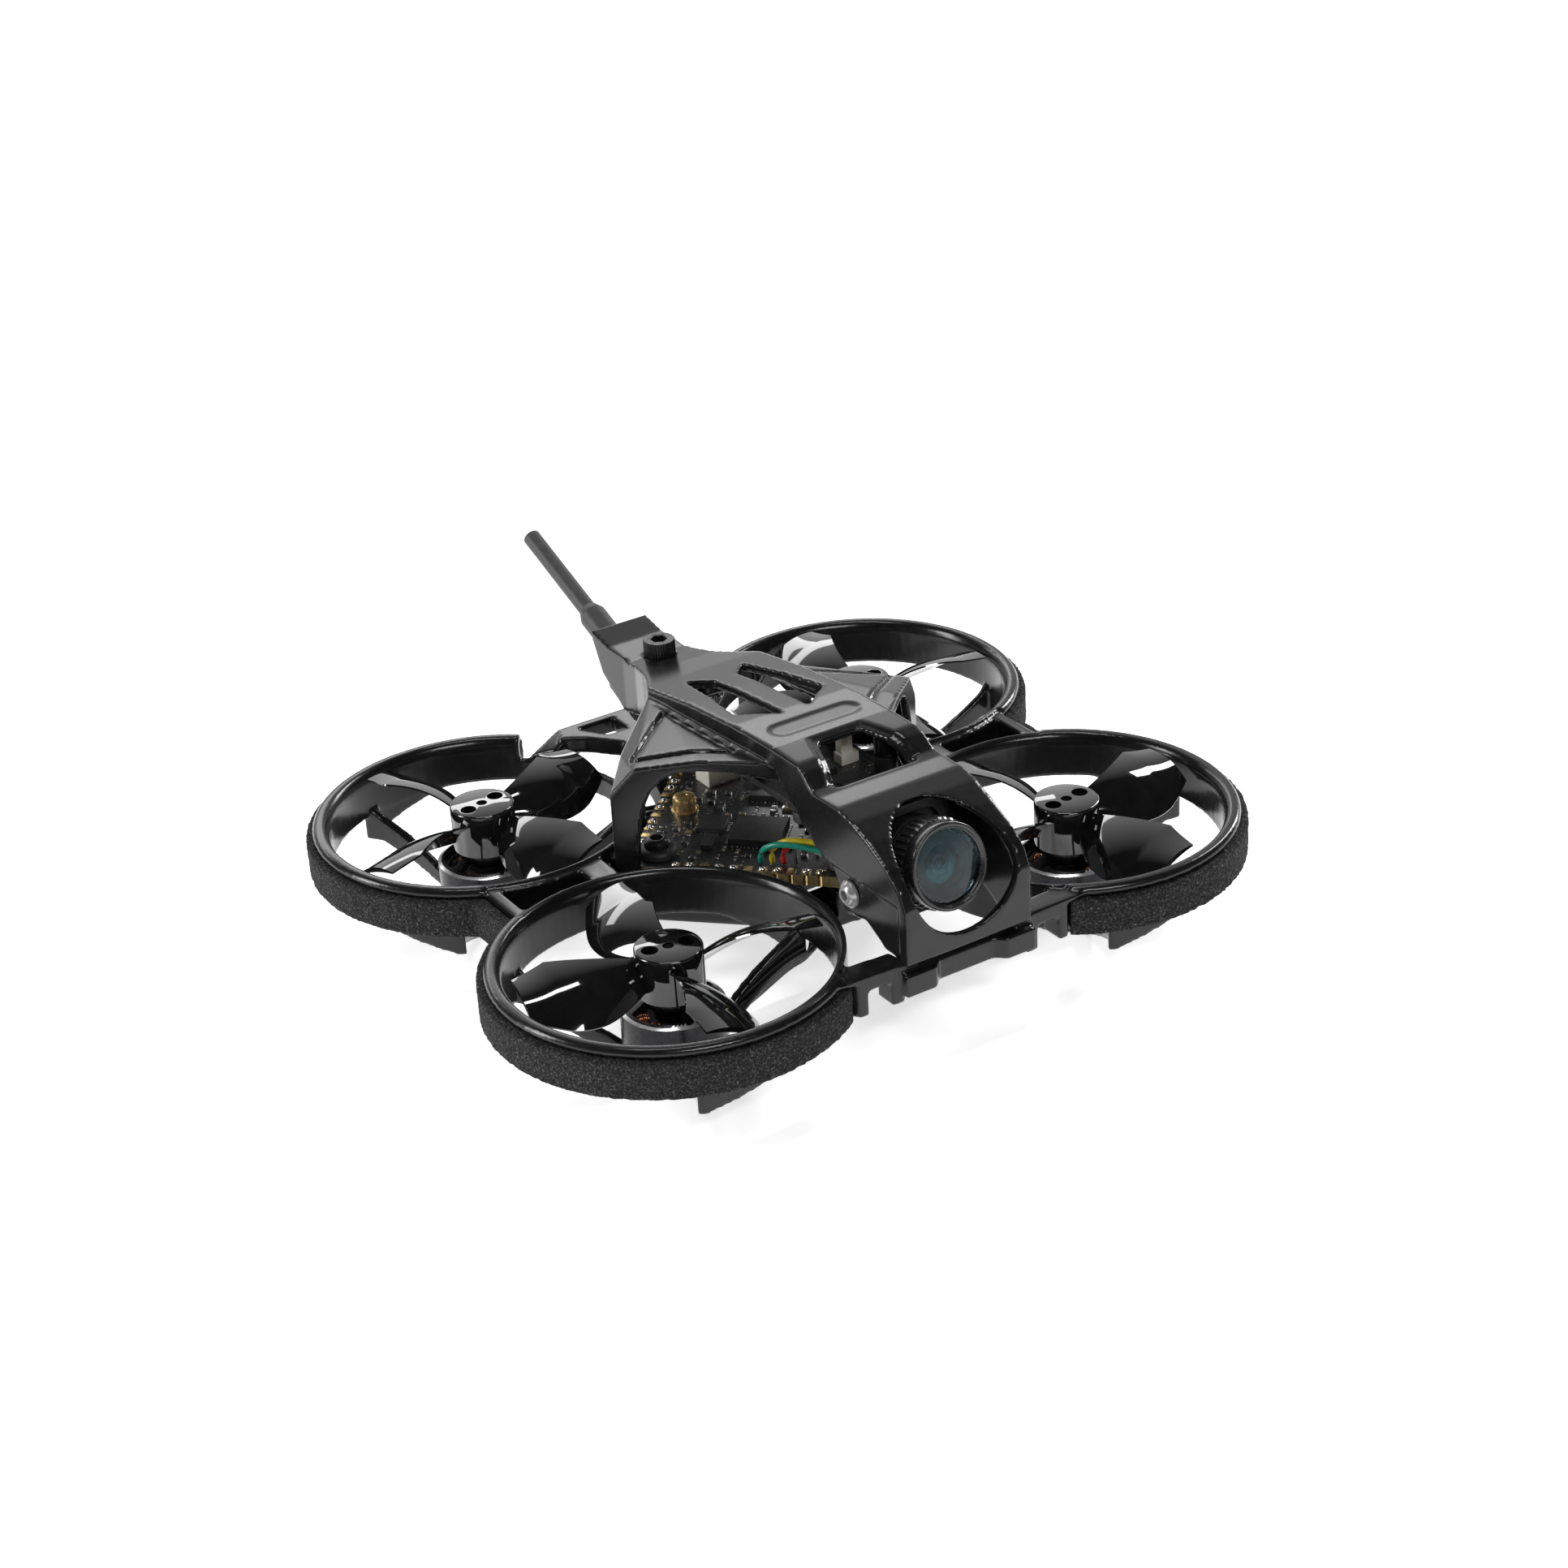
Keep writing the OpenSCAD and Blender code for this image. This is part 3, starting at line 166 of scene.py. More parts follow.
# Each softbox: its place, the point it faces, its width and length, and its power in watts
SOFTBOXES = {
    "back_box": ((0.1, 0.8, 0.42), (0, 0, 0), (0.9, 0.12), 1.3),
    "top_box": ((-0.05, 0.0, 0.8), (0, 0, 0), (0.07, 0.45), 1.5),
    "left_box": ((-0.7, 0.3, 0.3), (0, 0, 0), (0.2, 0.45), 4.0),
    "right_box": ((0.7, 0.15, 0.4), (0, 0, 0.01), (0.12, 0.5), 4.0),
    "front_box": ((-0.1, -0.62, 0.55), (0, 0, 0), (0.35, 0.08), 1.8),
}


def add_light():
    bpy.context.scene.view_settings.view_transform = "Standard"
    add_world()
    for name, values in SOFTBOXES.items():
        add_softbox(name, *values)


FLOOR_HALF = 12.0
FLOOR_GLOW = 0.66


def add_floor():
    half = FLOOR_HALF
    low = CAD_BOX[0].z
    mesh = bpy.data.meshes.new("floor")
    mesh.from_pydata([(-half, -half, low), (half, -half, low), (half, half, low), (-half, half, low)],
                     [], [(0, 1, 2, 3)])
    floor = link(bpy.data.objects.new("floor", mesh))
    look = finish("floor_pale", [grey(0.9), grey(0.93)], (0.42, 0.5), grain=6, Emission_Color=(1, 1, 1, 1),
                  Emission_Strength=FLOOR_GLOW)
    mesh.materials.append(look)


# ---------------------------------------------------------------- materials

def node_of(look, kind, **values):
    """Adds a shader node and sets its inputs by name."""
    node = look.node_tree.nodes.new(kind)
    for name, value in values.items():
        node.inputs[name.replace("_", " ")].default_value = value
    return node


def ramp_of(look, source, stops):
    """Colour ramp over a value, from (position, colour) stops."""
    ramp = look.node_tree.nodes.new("ShaderNodeValToRGB")
    elements = ramp.color_ramp.elements
    while len(elements) < len(stops):
        elements.new(0.5)
    for element, (place, colour) in zip(elements, stops):
        element.position = place
        element.color = (*colour, 1)
    look.node_tree.links.new(source, ramp.inputs["Fac"])
    return ramp.outputs["Color"]


def ranged(look, source, low, high, start=0.3, end=0.7):
    """A value mapped from start..end to low..high."""
    node = node_of(look, "ShaderNodeMapRange", From_Min=start, From_Max=end, To_Min=low, To_Max=high)
    look.node_tree.links.new(source, node.inputs["Value"])
    return node.outputs["Result"]


def coordinates(look):
    """Points in the object's own axes, in metres."""
    return look.node_tree.nodes.new("ShaderNodeTexCoord").outputs["Object"]


def clouds(look, point, scale, detail=3.0, roughness=0.55):
    node = node_of(look, "ShaderNodeTexNoise", Scale=scale, Detail=detail, Roughness=roughness)
    look.node_tree.links.new(point, node.inputs["Vector"])
    return node.outputs["Fac"]


def cells(look, point, scale):
    """Distance to the nearest of many strewn points."""
    node = node_of(look, "ShaderNodeTexVoronoi", Scale=scale)
    look.node_tree.links.new(point, node.inputs["Vector"])
    return node.outputs["Distance"]


def bumped(look, height, depth, under=None):
    """Puts a bump of a depth in metres on the shader."""
    node = node_of(look, "ShaderNodeBump", Distance=depth)
    links = look.node_tree.links
    links.new(height, node.inputs["Height"])
    if under:
        links.new(under, node.inputs["Normal"])
    links.new(node.outputs["Normal"], look.node_tree.nodes["Principled BSDF"].inputs["Normal"])
    return node.outputs["Normal"]


def plain(name, **values):
    """Principled material with values on the shader's own sockets."""
    look = bpy.data.materials.new(name)
    look.use_nodes = True
    shader = look.node_tree.nodes["Principled BSDF"]
    for key, value in values.items():
        shader.inputs[key.replace("_", " ")].default_value = value
    return look


def finish(name, colours, roughness, grain=900.0, fine=5200.0, depth=0.0, **values):
    """Cloudy colour and gloss over the surface, with a fine bump of that depth in metres."""
    look = plain(name, **values)
    shader = look.node_tree.nodes["Principled BSDF"]
    links = look.node_tree.links
    point = coordinates(look)
    broad = clouds(look, point, grain)
    first, span = 0.32, 0.36
    stops = [(first + span * i / (len(colours) - 1), colour) for i, colour in enumerate(colours)]
    links.new(ramp_of(look, broad, stops), shader.inputs["Base Color"])
    small = clouds(look, point, fine, detail=2.0)
    links.new(ranged(look, small, *roughness), shader.inputs["Roughness"])
    if depth:
        bumped(look, small, depth)
    return look


def foam(name, dark, pale, scale):
    """Closed-cell foam: pitted, with a few pale flecks."""
    pit_depth, grit_depth = 0.22 * MM, 0.16 * MM
    look = plain(name, IOR=1.3)
    shader = look.node_tree.nodes["Principled BSDF"]
    links = look.node_tree.links
    point = coordinates(look)
    pits = cells(look, point, scale)
    grit = clouds(look, point, 2.2 * scale, detail=4.0, roughness=0.7)
    middle = tuple(2.4 * c for c in dark)
    links.new(ramp_of(look, grit, [(0.4, dark), (0.56, middle), (0.68, pale)]), shader.inputs["Base Color"])
    links.new(ranged(look, grit, 0.95, 0.55, 0.4, 0.75), shader.inputs["Roughness"])
    under = bumped(look, pits, pit_depth)
    bumped(look, grit, grit_depth, under)
    return look


HOLE_PLATING = (0.5, 0.38, 0.16, 1)


def circuit(name, mask, trace):
    """Solder mask with copper tracks under it and small plated holes."""
    look = plain(name, IOR=1.5, Coat_Weight=0.3, Coat_Roughness=0.2)
    shader = look.node_tree.nodes["Principled BSDF"]
    links = look.node_tree.links
    point = coordinates(look)
    tracks = node_of(look, "ShaderNodeTexBrick", Scale=420.0, Mortar_Size=0.06, Mortar_Smooth=0.2,
                     Color1=(*mask, 1), Color2=(*[1.7 * c for c in mask], 1), Mortar=(*trace, 1))
    swirl = node_of(look, "ShaderNodeMapping", Rotation=(0, 0, math.radians(45)))
    links.new(point, swirl.inputs["Vector"])
    links.new(swirl.outputs["Vector"], tracks.inputs["Vector"])
    plated = ranged(look, cells(look, point, 640.0), 1.0, 0.0, 0.09, 0.12)
    mix = look.node_tree.nodes.new("ShaderNodeMix")
    mix.data_type = "RGBA"
    links.new(plated, mix.inputs[0])
    links.new(tracks.outputs["Color"], mix.inputs[6])
    mix.inputs[7].default_value = HOLE_PLATING
    links.new(mix.outputs[2], shader.inputs["Base Color"])
    links.new(ranged(look, clouds(look, point, 2600.0), 0.3, 0.5), shader.inputs["Roughness"])
    bumped(look, tracks.outputs["Fac"], -0.03 * MM)
    return look


def brushed(name, colours, roughness, rings):
    """Machined metal with fine turning marks round the part."""
    look = finish(name, colours, roughness, grain=700.0, Metallic=0.55, IOR=1.5)
    wave = node_of(look, "ShaderNodeTexWave", Scale=rings, Distortion=0.8, Detail=2.0)
    wave.bands_direction = "Z"
    look.node_tree.links.new(coordinates(look), wave.inputs["Vector"])
    bumped(look, wave.outputs["Fac"], 0.006 * MM)
    return look


LOOKS = {
    "moulded_black": finish("moulded_black", [grey(0.006, 0.1), grey(0.010, 0.1)], (0.18, 0.24),
                            depth=0.0000006, Specular_IOR_Level=0.42),
    "propeller_gloss": finish("propeller_gloss", [grey(0.005, 0.1), grey(0.009, 0.1)], (0.04, 0.07),
                              grain=400.0, Coat_Weight=0.6, Coat_Roughness=0.03, IOR=1.58),
    "bumper_foam": foam("bumper_foam", grey(0.010, 0.05), grey(0.13), 1600.0),
    "pad_foam": foam("pad_foam", grey(0.012), grey(0.06), 1800.0),
    "black_aluminium": finish("black_aluminium", [grey(0.02, 0.1), grey(0.035, 0.1)], (0.3, 0.42),
                              Metallic=0.6),
    "bell_anodised": finish("bell_anodised", [grey(0.018, 0.1), grey(0.03, 0.1)], (0.22, 0.32),
                            Metallic=0.75),
    "bare_aluminium": brushed("bare_aluminium", [grey(0.62), grey(0.8)], (0.16, 0.28), 900.0),
    "black_steel": finish("black_steel", [grey(0.014, 0.1), grey(0.03, 0.1)], (0.22, 0.36), depth=0.000004,
                          Metallic=0.5),
    "screw_steel": finish("screw_steel", [grey(0.4), grey(0.5)], (0.2, 0.26), Metallic=0.6),
    "magnet_nickel": finish("magnet_nickel", [grey(0.36), grey(0.46)], (0.2, 0.3), Metallic=1.0),
    "lamination": brushed("lamination", [grey(0.05), grey(0.09)], (0.35, 0.5), 5200.0),
    "copper_wire": finish("copper_wire", [(0.62, 0.24, 0.09), (0.95, 0.48, 0.22)], (0.14, 0.26), grain=1500.0,
                          Metallic=0.9, Coat_Weight=0.6, Coat_Roughness=0.08),
    "circuit_board": circuit("circuit_board", (0.005, 0.006, 0.007), (0.018, 0.019, 0.021)),
    "board_edge": finish("board_edge", [(0.10, 0.075, 0.025), (0.19, 0.14, 0.05)], (0.4, 0.6), grain=1800.0,
                         depth=0.00002),
    "chip_black": finish("chip_black", [grey(0.012), grey(0.022)], (0.42, 0.55), depth=0.000008),
    "gold_can": finish("gold_can", [(0.5, 0.34, 0.14), (0.62, 0.44, 0.2)], (0.22, 0.3), Metallic=0.7),
    "gold_pad": finish("gold_pad", [(0.5, 0.36, 0.13), (0.75, 0.58, 0.26)], (0.2, 0.4), grain=2200.0,
                       Metallic=1.0),
    "solder": finish("solder", [grey(0.55), grey(0.75)], (0.12, 0.3), grain=2500.0, Metallic=1.0),
    "socket_ivory": finish("socket_ivory", [(0.66, 0.63, 0.53), (0.78, 0.75, 0.66)], (0.4, 0.55),
                           depth=0.000006, Subsurface_Weight=0.1),
    "plated_steel": finish("plated_steel", [grey(0.5), grey(0.66)], (0.18, 0.3), depth=0.000003,
                           Metallic=1.0),
    "soft_rubber": finish("soft_rubber", [grey(0.010), grey(0.018)], (0.45, 0.62), depth=0.000012),
    "sleeve_black": finish("sleeve_black", [grey(0.012), grey(0.02)], (0.35, 0.5), depth=0.000008),
    "lead_black": finish("lead_black", [grey(0.010), grey(0.018)], (0.3, 0.42), depth=0.000008),
    "heat_shrink": finish("heat_shrink", [grey(0.03, 0.04), grey(0.045, 0.04)], (0.42, 0.55), depth=0.00001),
    "camera_plastic": finish("camera_plastic", [grey(0.012), grey(0.02)], (0.4, 0.5), depth=0.00001),
    "bezel_black": finish("bezel_black", [grey(0.014), grey(0.024)], (0.2, 0.32), depth=0.000003,
                          Coat_Weight=0.3, Coat_Roughness=0.15),
    "sensor_glass": finish("sensor_glass", [(0.02, 0.03, 0.05), (0.05, 0.03, 0.06)], (0.04, 0.08),
                           Coat_Weight=1.0, Coat_Roughness=0.02),
}
LEAD_COLOURS = {
    "lead_teal": [(0.0, 0.20, 0.13), (0.0, 0.27, 0.18)],
    "lead_yellow": [(0.52, 0.40, 0.01), (0.66, 0.52, 0.02)],
    "lead_red": [(0.42, 0.012, 0.008), (0.55, 0.02, 0.012)],
    "lead_grey": [(0.09, 0.10, 0.12), (0.13, 0.14, 0.16)],
}
for key, colours in LEAD_COLOURS.items():
    LOOKS[key] = finish(key, colours, (0.3, 0.42), depth=0.00001, Coat_Weight=0.2, Coat_Roughness=0.2)


# ---------------------------------------------------------------- shapes

class Shape:
    """Points in millimetres and faces, gathered until they become one mesh."""

    def __init__(self):
        self.points = []
        self.faces = []
        self.looks = []

    def add(self, solid, look=0, move=Matrix.Identity(4)):
        points, faces = solid
        start = len(self.points)
        mirrored = move.determinant() < 0
        self.points += [move @ Vector(p) for p in points]
        for face in faces:
            corners = [start + i for i in face]
            self.faces.append(corners[::-1] if mirrored else corners)
            self.looks.append(look)
        return self


def rings(loops, closed=False):
    """Skin over loops that have the same number of points: capped, or closed from last to first."""
    n = len(loops[0])
    points = [p for loop in loops for p in loop]
    faces = []
    last = len(loops) if closed else len(loops) - 1
    for i in range(last):
        a, b = i * n, (i + 1) % len(loops) * n
        for k in range(n):
            j = (k + 1) % n
            faces.append((a + k, a + j, b + j, b + k))
    if not closed:
        faces.append(tuple(range(n - 1, -1, -1)))
        faces.append(tuple(range(len(points) - n, len(points))))
    return points, faces


def circle(r, z, sides, shape=None):
    """Ring of points at a height. shape changes the radius by angle."""
    turns = [2 * math.pi * k / sides for k in range(sides)]
    reach = shape or (lambda r, t: r)
    return [(reach(r, t) * math.cos(t), reach(r, t) * math.sin(t), z) for t in turns]


def lathe(profile, sides=48, closed=False, shapes=None):
    """Turns (radius, height) pairs about z. A closed profile is a ring."""
    shapes = shapes or {}
    loops = [circle(r, z, sides, shapes.get(i)) for i, (r, z) in enumerate(profile)]
    return rings(loops, closed=closed)


def rounded(corners, radius, steps=3):
    """Closed outline of (a, b) points with each corner rounded."""
    out = []
    n = len(corners)
    for i in range(n):
        p = Vector(corners[i])
        before = Vector(corners[i - 1]) - p
        after = Vector(corners[(i + 1) % n]) - p
        cut = min(radius, 0.45 * before.length, 0.45 * after.length)
        a = p + before.normalized() * cut
        b = p + after.normalized() * cut
        for k in range(steps + 1):
            t = k / steps
            out.append(tuple((1 - t) ** 2 * a + 2 * t * (1 - t) * p + t * t * b))
    return out


def block(size, edge=0.1, corner=None):
    """Box standing on z = 0 with rounded upright corners and a soft upper edge."""
    sx, sy, sz = size
    loops = []
    for z, inset in [(0, 0), (sz - edge, 0), (sz - 0.3 * edge, 0.3 * edge), (sz, edge)]:
        hx, hy = sx / 2 - inset, sy / 2 - inset
        outline = rounded([(hx, -hy), (hx, hy), (-hx, hy), (-hx, -hy)], corner or edge, steps=2)
        loops.append([(x, y, z) for x, y in outline])
    return rings(loops)


def tube(path, radius, sides=8):
    """Round tube along a path, kept from twisting."""
    path = [Vector(p) for p in path]
    along = (path[1] - path[0]).normalized()
    side = along.orthogonal().normalized()
    loops = []
    for i, p in enumerate(path):
        ahead = path[min(i + 1, len(path) - 1)]
        behind = path[max(i - 1, 0)]
        along = (ahead - behind).normalized()
        side = (side - along * side.dot(along)).normalized()
        up = along.cross(side)
        turns = [2 * math.pi * k / sides for k in range(sides)]
        loops.append([p + radius * (math.cos(t) * side + math.sin(t) * up) for t in turns])
    return rings(loops)


def place(x, y, z, turn=0.0):
    return Matrix.Translation((x, y, z)) @ Matrix.Rotation(math.radians(turn), 4, "Z")


def smooth(mesh, sharp):
    mesh.polygons.foreach_set("use_smooth", [True] * len(mesh.polygons))
    if sharp:
        mesh.set_sharp_from_angle(angle=math.radians(sharp))


def put(mesh, name, looks, body, nodes=()):
    """Makes the mesh a piece that rides on a body and stands for CAD nodes."""
    if not mesh.materials:
        for look in looks:
            mesh.materials.append(LOOKS[look])
    piece = link(bpy.data.objects.new(name, mesh))
    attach(piece, body)
    if nodes:
        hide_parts(*nodes)
    return piece


def make(shape, name, looks, body, nodes=(), sharp=38):
    mesh = bpy.data.meshes.new(name)
    mesh.from_pydata([p * MM for p in shape.points], [], shape.faces)
    mesh.validate()
    mesh.polygons.foreach_set("material_index", shape.looks)
    smooth(mesh, sharp)
    return put(mesh, name, looks, body, nodes)


def copied(node):
    """Welded copy of a CAD node's mesh."""
    work = bmesh.new()
    work.from_mesh(NODES[node].data)
    bmesh.ops.remove_doubles(work, verts=work.verts, dist=0.002 * MM)
    return work


def as_mesh(work, name, sharp=None):
    mesh = bpy.data.meshes.new(name)
    work.to_mesh(mesh)
    work.free()
    smooth(mesh, sharp)
    return mesh


def evaluated(piece):
    """Mesh of an object with its modifiers applied. The object is removed."""
    graph = bpy.context.evaluated_depsgraph_get()
    mesh = bpy.data.meshes.new_from_object(piece.evaluated_get(graph))
    bpy.data.objects.remove(piece)
    return mesh


FLAT_ANGLE = math.radians(0.6)
HARD_ANGLE = math.radians(28)


def edged(node, width, slot, body, looks=None, pick=None, segments=2):
    """CAD node with every hard edge rounded by width in millimetres. pick gives a face's look."""
    work = copied(node)
    bmesh.ops.dissolve_limit(work, angle_limit=FLAT_ANGLE, verts=work.verts, edges=work.edges)
    hard = [e for e in work.edges if len(e.link_faces) == 2 and e.calc_face_angle() > HARD_ANGLE]
    bmesh.ops.bevel(work, geom=hard, offset=width * MM, segments=segments, profile=0.5, affect="EDGES",
                    clamp_overlap=True)
    for face in work.faces:
        centre = face.calc_center_median() / MM
        face.material_index = pick(centre, face.normal) if pick else 0
    mesh = as_mesh(work, node + "_part", sharp=35)
    piece = put(mesh, node + "_part", looks or [slot], body, [node])
    piece.modifiers.new("even", "WEIGHTED_NORMAL").keep_sharp = True
    return piece


def moulded(node, name, voxel, passes, keep=1.0):
    """Mesh of a CAD node with its edges softened as a mould leaves them. keep is the share of faces left."""
    work = copied(node)
    piece = link(bpy.data.objects.new("work", as_mesh(work, "work")))
    skin = piece.modifiers.new("skin", "REMESH")
    skin.mode = "VOXEL"
    skin.voxel_size = voxel * MM
    soften = piece.modifiers.new("soften", "SMOOTH")
    soften.factor = 0.5
    soften.iterations = passes
    if keep < 1:
        piece.modifiers.new("thin", "DECIMATE").ratio = keep
    mesh = evaluated(piece)
    smooth(mesh, None)
    mesh.name = name
    return mesh


# ---------------------------------------------------------------- frame, canopy and foam

def add_frame():
    mesh = moulded("frame", "duct_frame", 0.28, 5, keep=0.42)
    put(mesh, mesh.name, ["moulded_black"], AIRFRAME, ["frame"])


def add_canopy():
    mesh = moulded("canopy", "canopy_shell", 0.25, 6, keep=0.6)
    put(mesh, mesh.name, ["moulded_black"], AIRFRAME, ["canopy"])


def pitted(mesh, grain, depth):
    """Presses small hollows into a foam surface, never outwards. depth is in millimetres."""
    normals = [vertex.normal.copy() for vertex in mesh.vertices]
    for vertex, normal in zip(mesh.vertices, normals):
        p = vertex.co / MM
        rough = noise.noise(p * grain) + 0.6 * noise.noise(p * grain * 2.3)
        vertex.co -= normal * depth * MM * (0.5 + 0.5 * max(-1, min(1, rough * 1.4)))


def add_foam():
    for side in ("left", "right"):
        mesh = moulded("foam_" + side, "bumper_strip_" + side, 0.3, 3)
        pitted(mesh, 1.3, 0.16)
        strip = put(mesh, mesh.name, ["bumper_foam"], AIRFRAME, ["foam_" + side])
    mesh = moulded("tail_pad", "tail_cushion", 0.18, 4)
    pitted(mesh, 1.6, 0.1)
    pad = put(mesh, mesh.name, ["pad_foam"], AIRFRAME, ["tail_pad"])


# ---------------------------------------------------------------- screws

def hexagon(flat):
    """Radius of a hexagon whose flats are that far from the centre, by angle."""
    def reach(r, t):
        return flat / math.cos((t + math.pi / 6) % (math.pi / 3) - math.pi / 6)
    return reach


KNURL_TEETH = 20


def socket_head(radius, height, hex_flat, depth, dome=0.0, knurl=0.0, sides=96):
    """Screw head on z = 0 with a hexagon socket. Its edge drops by dome, and knurl is its teeth's depth."""
    def toothed(r, t):
        return r - knurl * abs(math.sin(t * KNURL_TEETH))
    chamfer = 0.12
    crown = radius - chamfer
    profile = [(radius, 0.0), (radius, height - dome - chamfer), (crown, height - dome)]
    if dome:
        steps = 6
        for k in range(1, steps + 1):
            r = crown - (crown - hex_flat * 1.25) * k / steps
            profile.append((r, height - dome * (1 - k / steps) ** 2))
    else:
        profile.append((hex_flat * 1.3, height))
    first = len(profile)
    profile += [(hex_flat, height - 0.04), (hex_flat, height - depth), (0.02, height - depth - 0.1)]
    shapes = {first: hexagon(hex_flat), first + 1: hexagon(hex_flat)}
    if knurl:
        shapes[0] = toothed
        shapes[1] = toothed
    return lathe(profile, sides=sides, shapes=shapes)


def pin(radius, low, high, sides=32):
    edge = 0.15 * radius
    return lathe([(radius - edge, low), (radius, low + edge), (radius, high - edge), (radius - edge, high)],
                 sides)


# The two tail screws meet in the standoff, and the two hood screws hold the camera
TAIL_SCREW = Vector((0, 27.3, 0))
TAIL_UPPER_HEAD = 21.25
TAIL_LOWER_HEAD = 6.08
TAIL_PIN_R = 1.18
HOOD_SCREW = Vector((0, -32.8, 12.9))
HOOD_HEAD = 9.3
HOOD_PIN_R = 0.99


def add_screws():
    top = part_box("tail_screws")[1].z / MM
    shape = Shape()
    tail = Matrix.Translation(TAIL_SCREW)
    shape.add(socket_head(2.24, top - TAIL_UPPER_HEAD, 1.05, 1.2, knurl=0.14, sides=160), 0,
              tail @ Matrix.Translation((0, 0, TAIL_UPPER_HEAD)))
    shape.add(pin(TAIL_PIN_R, 15.5, TAIL_UPPER_HEAD), 0, tail)
    upside = Matrix.Rotation(math.pi, 4, "X")
    shape.add(socket_head(2.2, 1.38, 1.0, 0.8), 0,
              tail @ Matrix.Translation((0, 0, TAIL_LOWER_HEAD)) @ upside)
    shape.add(pin(TAIL_PIN_R, 6.0, 12.0), 0, tail)
    make(shape, "tail_bolts", ["black_steel"], AIRFRAME, ["tail_screws"])

    shape = Shape()
    for side in (-1, 1):
        face = Matrix.Translation(HOOD_SCREW) @ Matrix.Rotation(math.radians(90 * side), 4, "Y")
        shape.add(socket_head(1.8, 1.1, 0.66, 0.75, dome=0.65), 0,
                  face @ Matrix.Translation((0, 0, HOOD_HEAD)))
        shape.add(pin(HOOD_PIN_R, 6.1, 9.35), 0, face)
    make(shape, "hood_bolts", ["screw_steel"], AIRFRAME, ["camera_screws"])


# ---------------------------------------------------------------- flight board

BOARD_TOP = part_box("flight_board")[1].z / MM
BOARD_THICK = 1.6
BOARD_SIDE = 32.6
BOARD_HOLE = 18.0
PAD_PITCH = 1.95
PIN_PITCH = 0.55
SMALL_PART_TRIES = 420
# Chips as (x, y, width, depth), all turned with the board, and the larger parts that stand beside them
CHIPS = [(-4.6, -3.9, 7, 7), (-8.2, 1.9, 3.8, 3.8), (3, 5.2, 5, 5), (8.4, 0.6, 3, 3), (1.2, -10.6, 3, 3)]
KEEP_OUT = CHIPS + [(-11.4, -2.1, 3.2, 1.6), (10.4, 7, 7, 5), (-8.6, 8.4, 4, 4), (0.5, 13.4, 6.4, 3.6),
                    (12.9, -4.6, 5.6, 5.6), (-7, -12, 4.4, 4.4)]


def turn_about_z(degrees):
    return Matrix.Rotation(math.radians(degrees), 4, "Z")


def on_board(u, v, turn=0.0):
    """Place on the board, u and v along its edges, 45 degrees from the drone's axes."""
    return turn_about_z(45) @ place(u, v, BOARD_TOP, turn)


def board_uv(x, y):
    h = math.sqrt(0.5)
    return h * (x + y), h * (y - x)


def add_board():
    def edge_or_face(centre, normal):
        return 0 if abs(normal.z) > 0.5 else 1
    edged("flight_board", 0.08, "circuit_board", AIRFRAME, ["circuit_board", "board_edge"], edge_or_face)

    # pads and plated half holes along the four edges, with solder on two pads of three
    pad = block((1.25, 1.5, 0.06), 0.02, 0.25)
    wall = lathe([(0.42, -1.45), (0.42, -0.02)], 12)
    blob = lathe([(0.5, 0.05), (0.46, 0.22), (0.3, 0.38), (0.08, 0.44)], 14)
    shape = Shape()
    for quarter in range(4):
        for i in range(-5, 6):
            spot = turn_about_z(90 * quarter) @ Matrix.Translation((i * PAD_PITCH, -BOARD_SIDE / 2, 0))
            at_edge = turn_about_z(45) @ spot
            on_pad = at_edge @ Matrix.Translation((0, 0.85, BOARD_TOP))
            shape.add(pad, 0, on_pad)
            shape.add(wall, 0, at_edge @ Matrix.Translation((0, 0.30, BOARD_TOP)))
            if (i + quarter) % 3:
                shape.add(blob, 1, on_pad)
    make(shape, "board_pads", ["gold_pad", "solder"], AIRFRAME)

    edged("board_chips", 0.09, "chip_black", AIRFRAME)
    add_chip_pins()
    add_small_parts()


def add_chip_pins():
    """Short pins down to the board on the chips' four sides."""
    shape = Shape()
    for x, y, width, depth in CHIPS:
        u, v = board_uv(x, y)
        for quarter in range(4):
            across, out = (width, depth) if quarter % 2 == 0 else (depth, width)
            count = int((across - 0.8) / PIN_PITCH)
            for i in range(count):
                spot = Matrix.Translation(((i - (count - 1) / 2) * PIN_PITCH, -out / 2 - 0.24, 0))
                shape.add(block((0.26, 0.55, 0.16), 0.04), 0,
                          on_board(u, v) @ turn_about_z(90 * quarter) @ spot)
    make(shape, "chip_pins", ["solder"], AIRFRAME)


